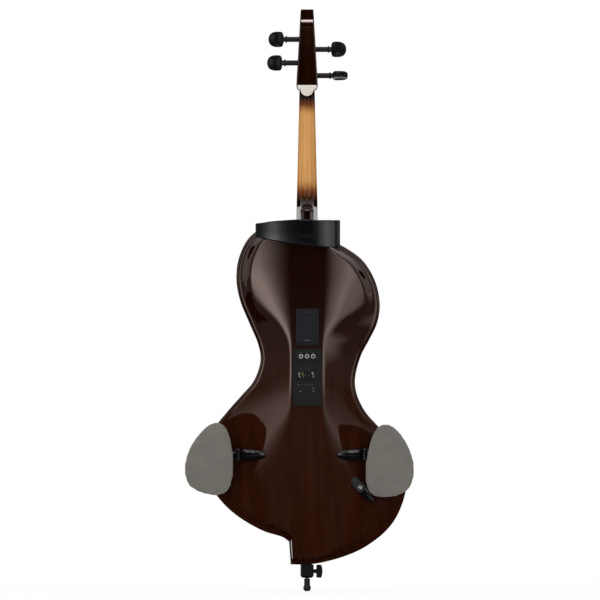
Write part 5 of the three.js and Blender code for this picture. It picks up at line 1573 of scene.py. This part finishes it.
class CELLO_OT_stage(bpy.types.Operator):
    """Camera, pale floor, even light and studio cards"""
    bl_idname = "cello.stage"
    bl_label = "Studio"

    def execute(self, context):
        look = context.scene.cello_stage
        scene = context.scene
        scene.view_settings.view_transform = "Standard"
        camera = bpy.data.cameras.new("camera")
        camera.sensor_width = 36.0
        camera.lens = camera.sensor_width * look.distance / look.view_height
        camera.clip_end = 200.0
        holder = link(camera, "camera")
        holder.location = (look.centre_x, -0.042 - look.distance, look.centre_z)
        holder.rotation_euler = (math.radians(90), 0, 0)
        scene.camera = holder

        world = bpy.data.worlds.new("studio")
        world.use_nodes = True
        tree = world.node_tree
        tree.nodes.clear()
        even = add(tree, "ShaderNodeBackground", {"Color": (1, 1, 1), "Strength": look.ambient})
        white = add(tree, "ShaderNodeBackground", {"Color": (1, 1, 1)})
        surface(tree, add(tree, "ShaderNodeOutputWorld"), even, white, seen_ray(tree))
        scene.world = world

        around = ((-1, -1), (1, -1), (1, 1), (-1, 1))
        corners = [(x * FLOOR_REACH, y * FLOOR_REACH, FLOOR_Z) for x, y in around]
        floor = bpy.data.meshes.new("floor")
        floor.from_pydata(corners, [], [(0, 1, 2, 3)])
        floor.materials.append(background_material("pale_floor", (0.95, 0.95, 0.95), 0.9))
        link(floor, "floor")
        studio_cards(look)
        lamp("lamp_left", (-2.4, -3.2, 2.2), (0, 0, 0.6), 1.6, 1.6, 52)
        lamp("lamp_right", (2.4, -3.2, 1.6), (0, 0, 0.6), 1.6, 1.6, 28)
        lamp("lamp_over", (0.0, -0.6, 3.4), (0, 0, 0.5), 2.2, 1.6, 30)
        lamp("lamp_rear", (0.8, 3.4, 2.4), (0, 0, 0.6), 2.2, 1.8, 45)
        return {"FINISHED"}


class CELLO_PT_panel(bpy.types.Panel):
    """Lists the steps that build the instrument and its studio"""
    bl_idname = "CELLO_PT_panel"
    bl_label = "Electric cello"
    bl_space_type = "VIEW_3D"
    bl_region_type = "UI"
    bl_category = "Cello"

    def draw(self, context):
        column = self.layout.column()
        for step in STEPS:
            column.operator(step.bl_idname, text=step.bl_label)
        for group in GROUPS:
            settings = getattr(context.scene, group)
            for key in settings.__annotations__:
                column.prop(settings, key)


GROUPS = {
    "cello_body": CelloBody,
    "cello_neck": CelloNeck,
    "cello_rests": CelloRests,
    "cello_parts": CelloParts,
    "cello_stage": CelloStage,
}
STEPS = (
    CELLO_OT_stage, CELLO_OT_back, CELLO_OT_top, CELLO_OT_neck, CELLO_OT_bridge, CELLO_OT_strings,
    CELLO_OT_pegs, CELLO_OT_endpin, CELLO_OT_chest, CELLO_OT_rests, CELLO_OT_support, CELLO_OT_preamp,
    CELLO_OT_battery,
)


def register():
    for name, group in GROUPS.items():
        bpy.utils.register_class(group)
        setattr(bpy.types.Scene, name, PointerProperty(type=group))
    for step in (*STEPS, CELLO_PT_panel):
        bpy.utils.register_class(step)


def unregister():
    for step in reversed((*STEPS, CELLO_PT_panel)):
        bpy.utils.unregister_class(step)
    for name, group in reversed(GROUPS.items()):
        delattr(bpy.types.Scene, name)
        bpy.utils.unregister_class(group)


def main():
    register()
    for step in STEPS:
        family, call = step.bl_idname.split(".")
        getattr(getattr(bpy.ops, family), call)()


if __name__ == "__main__":
    main()
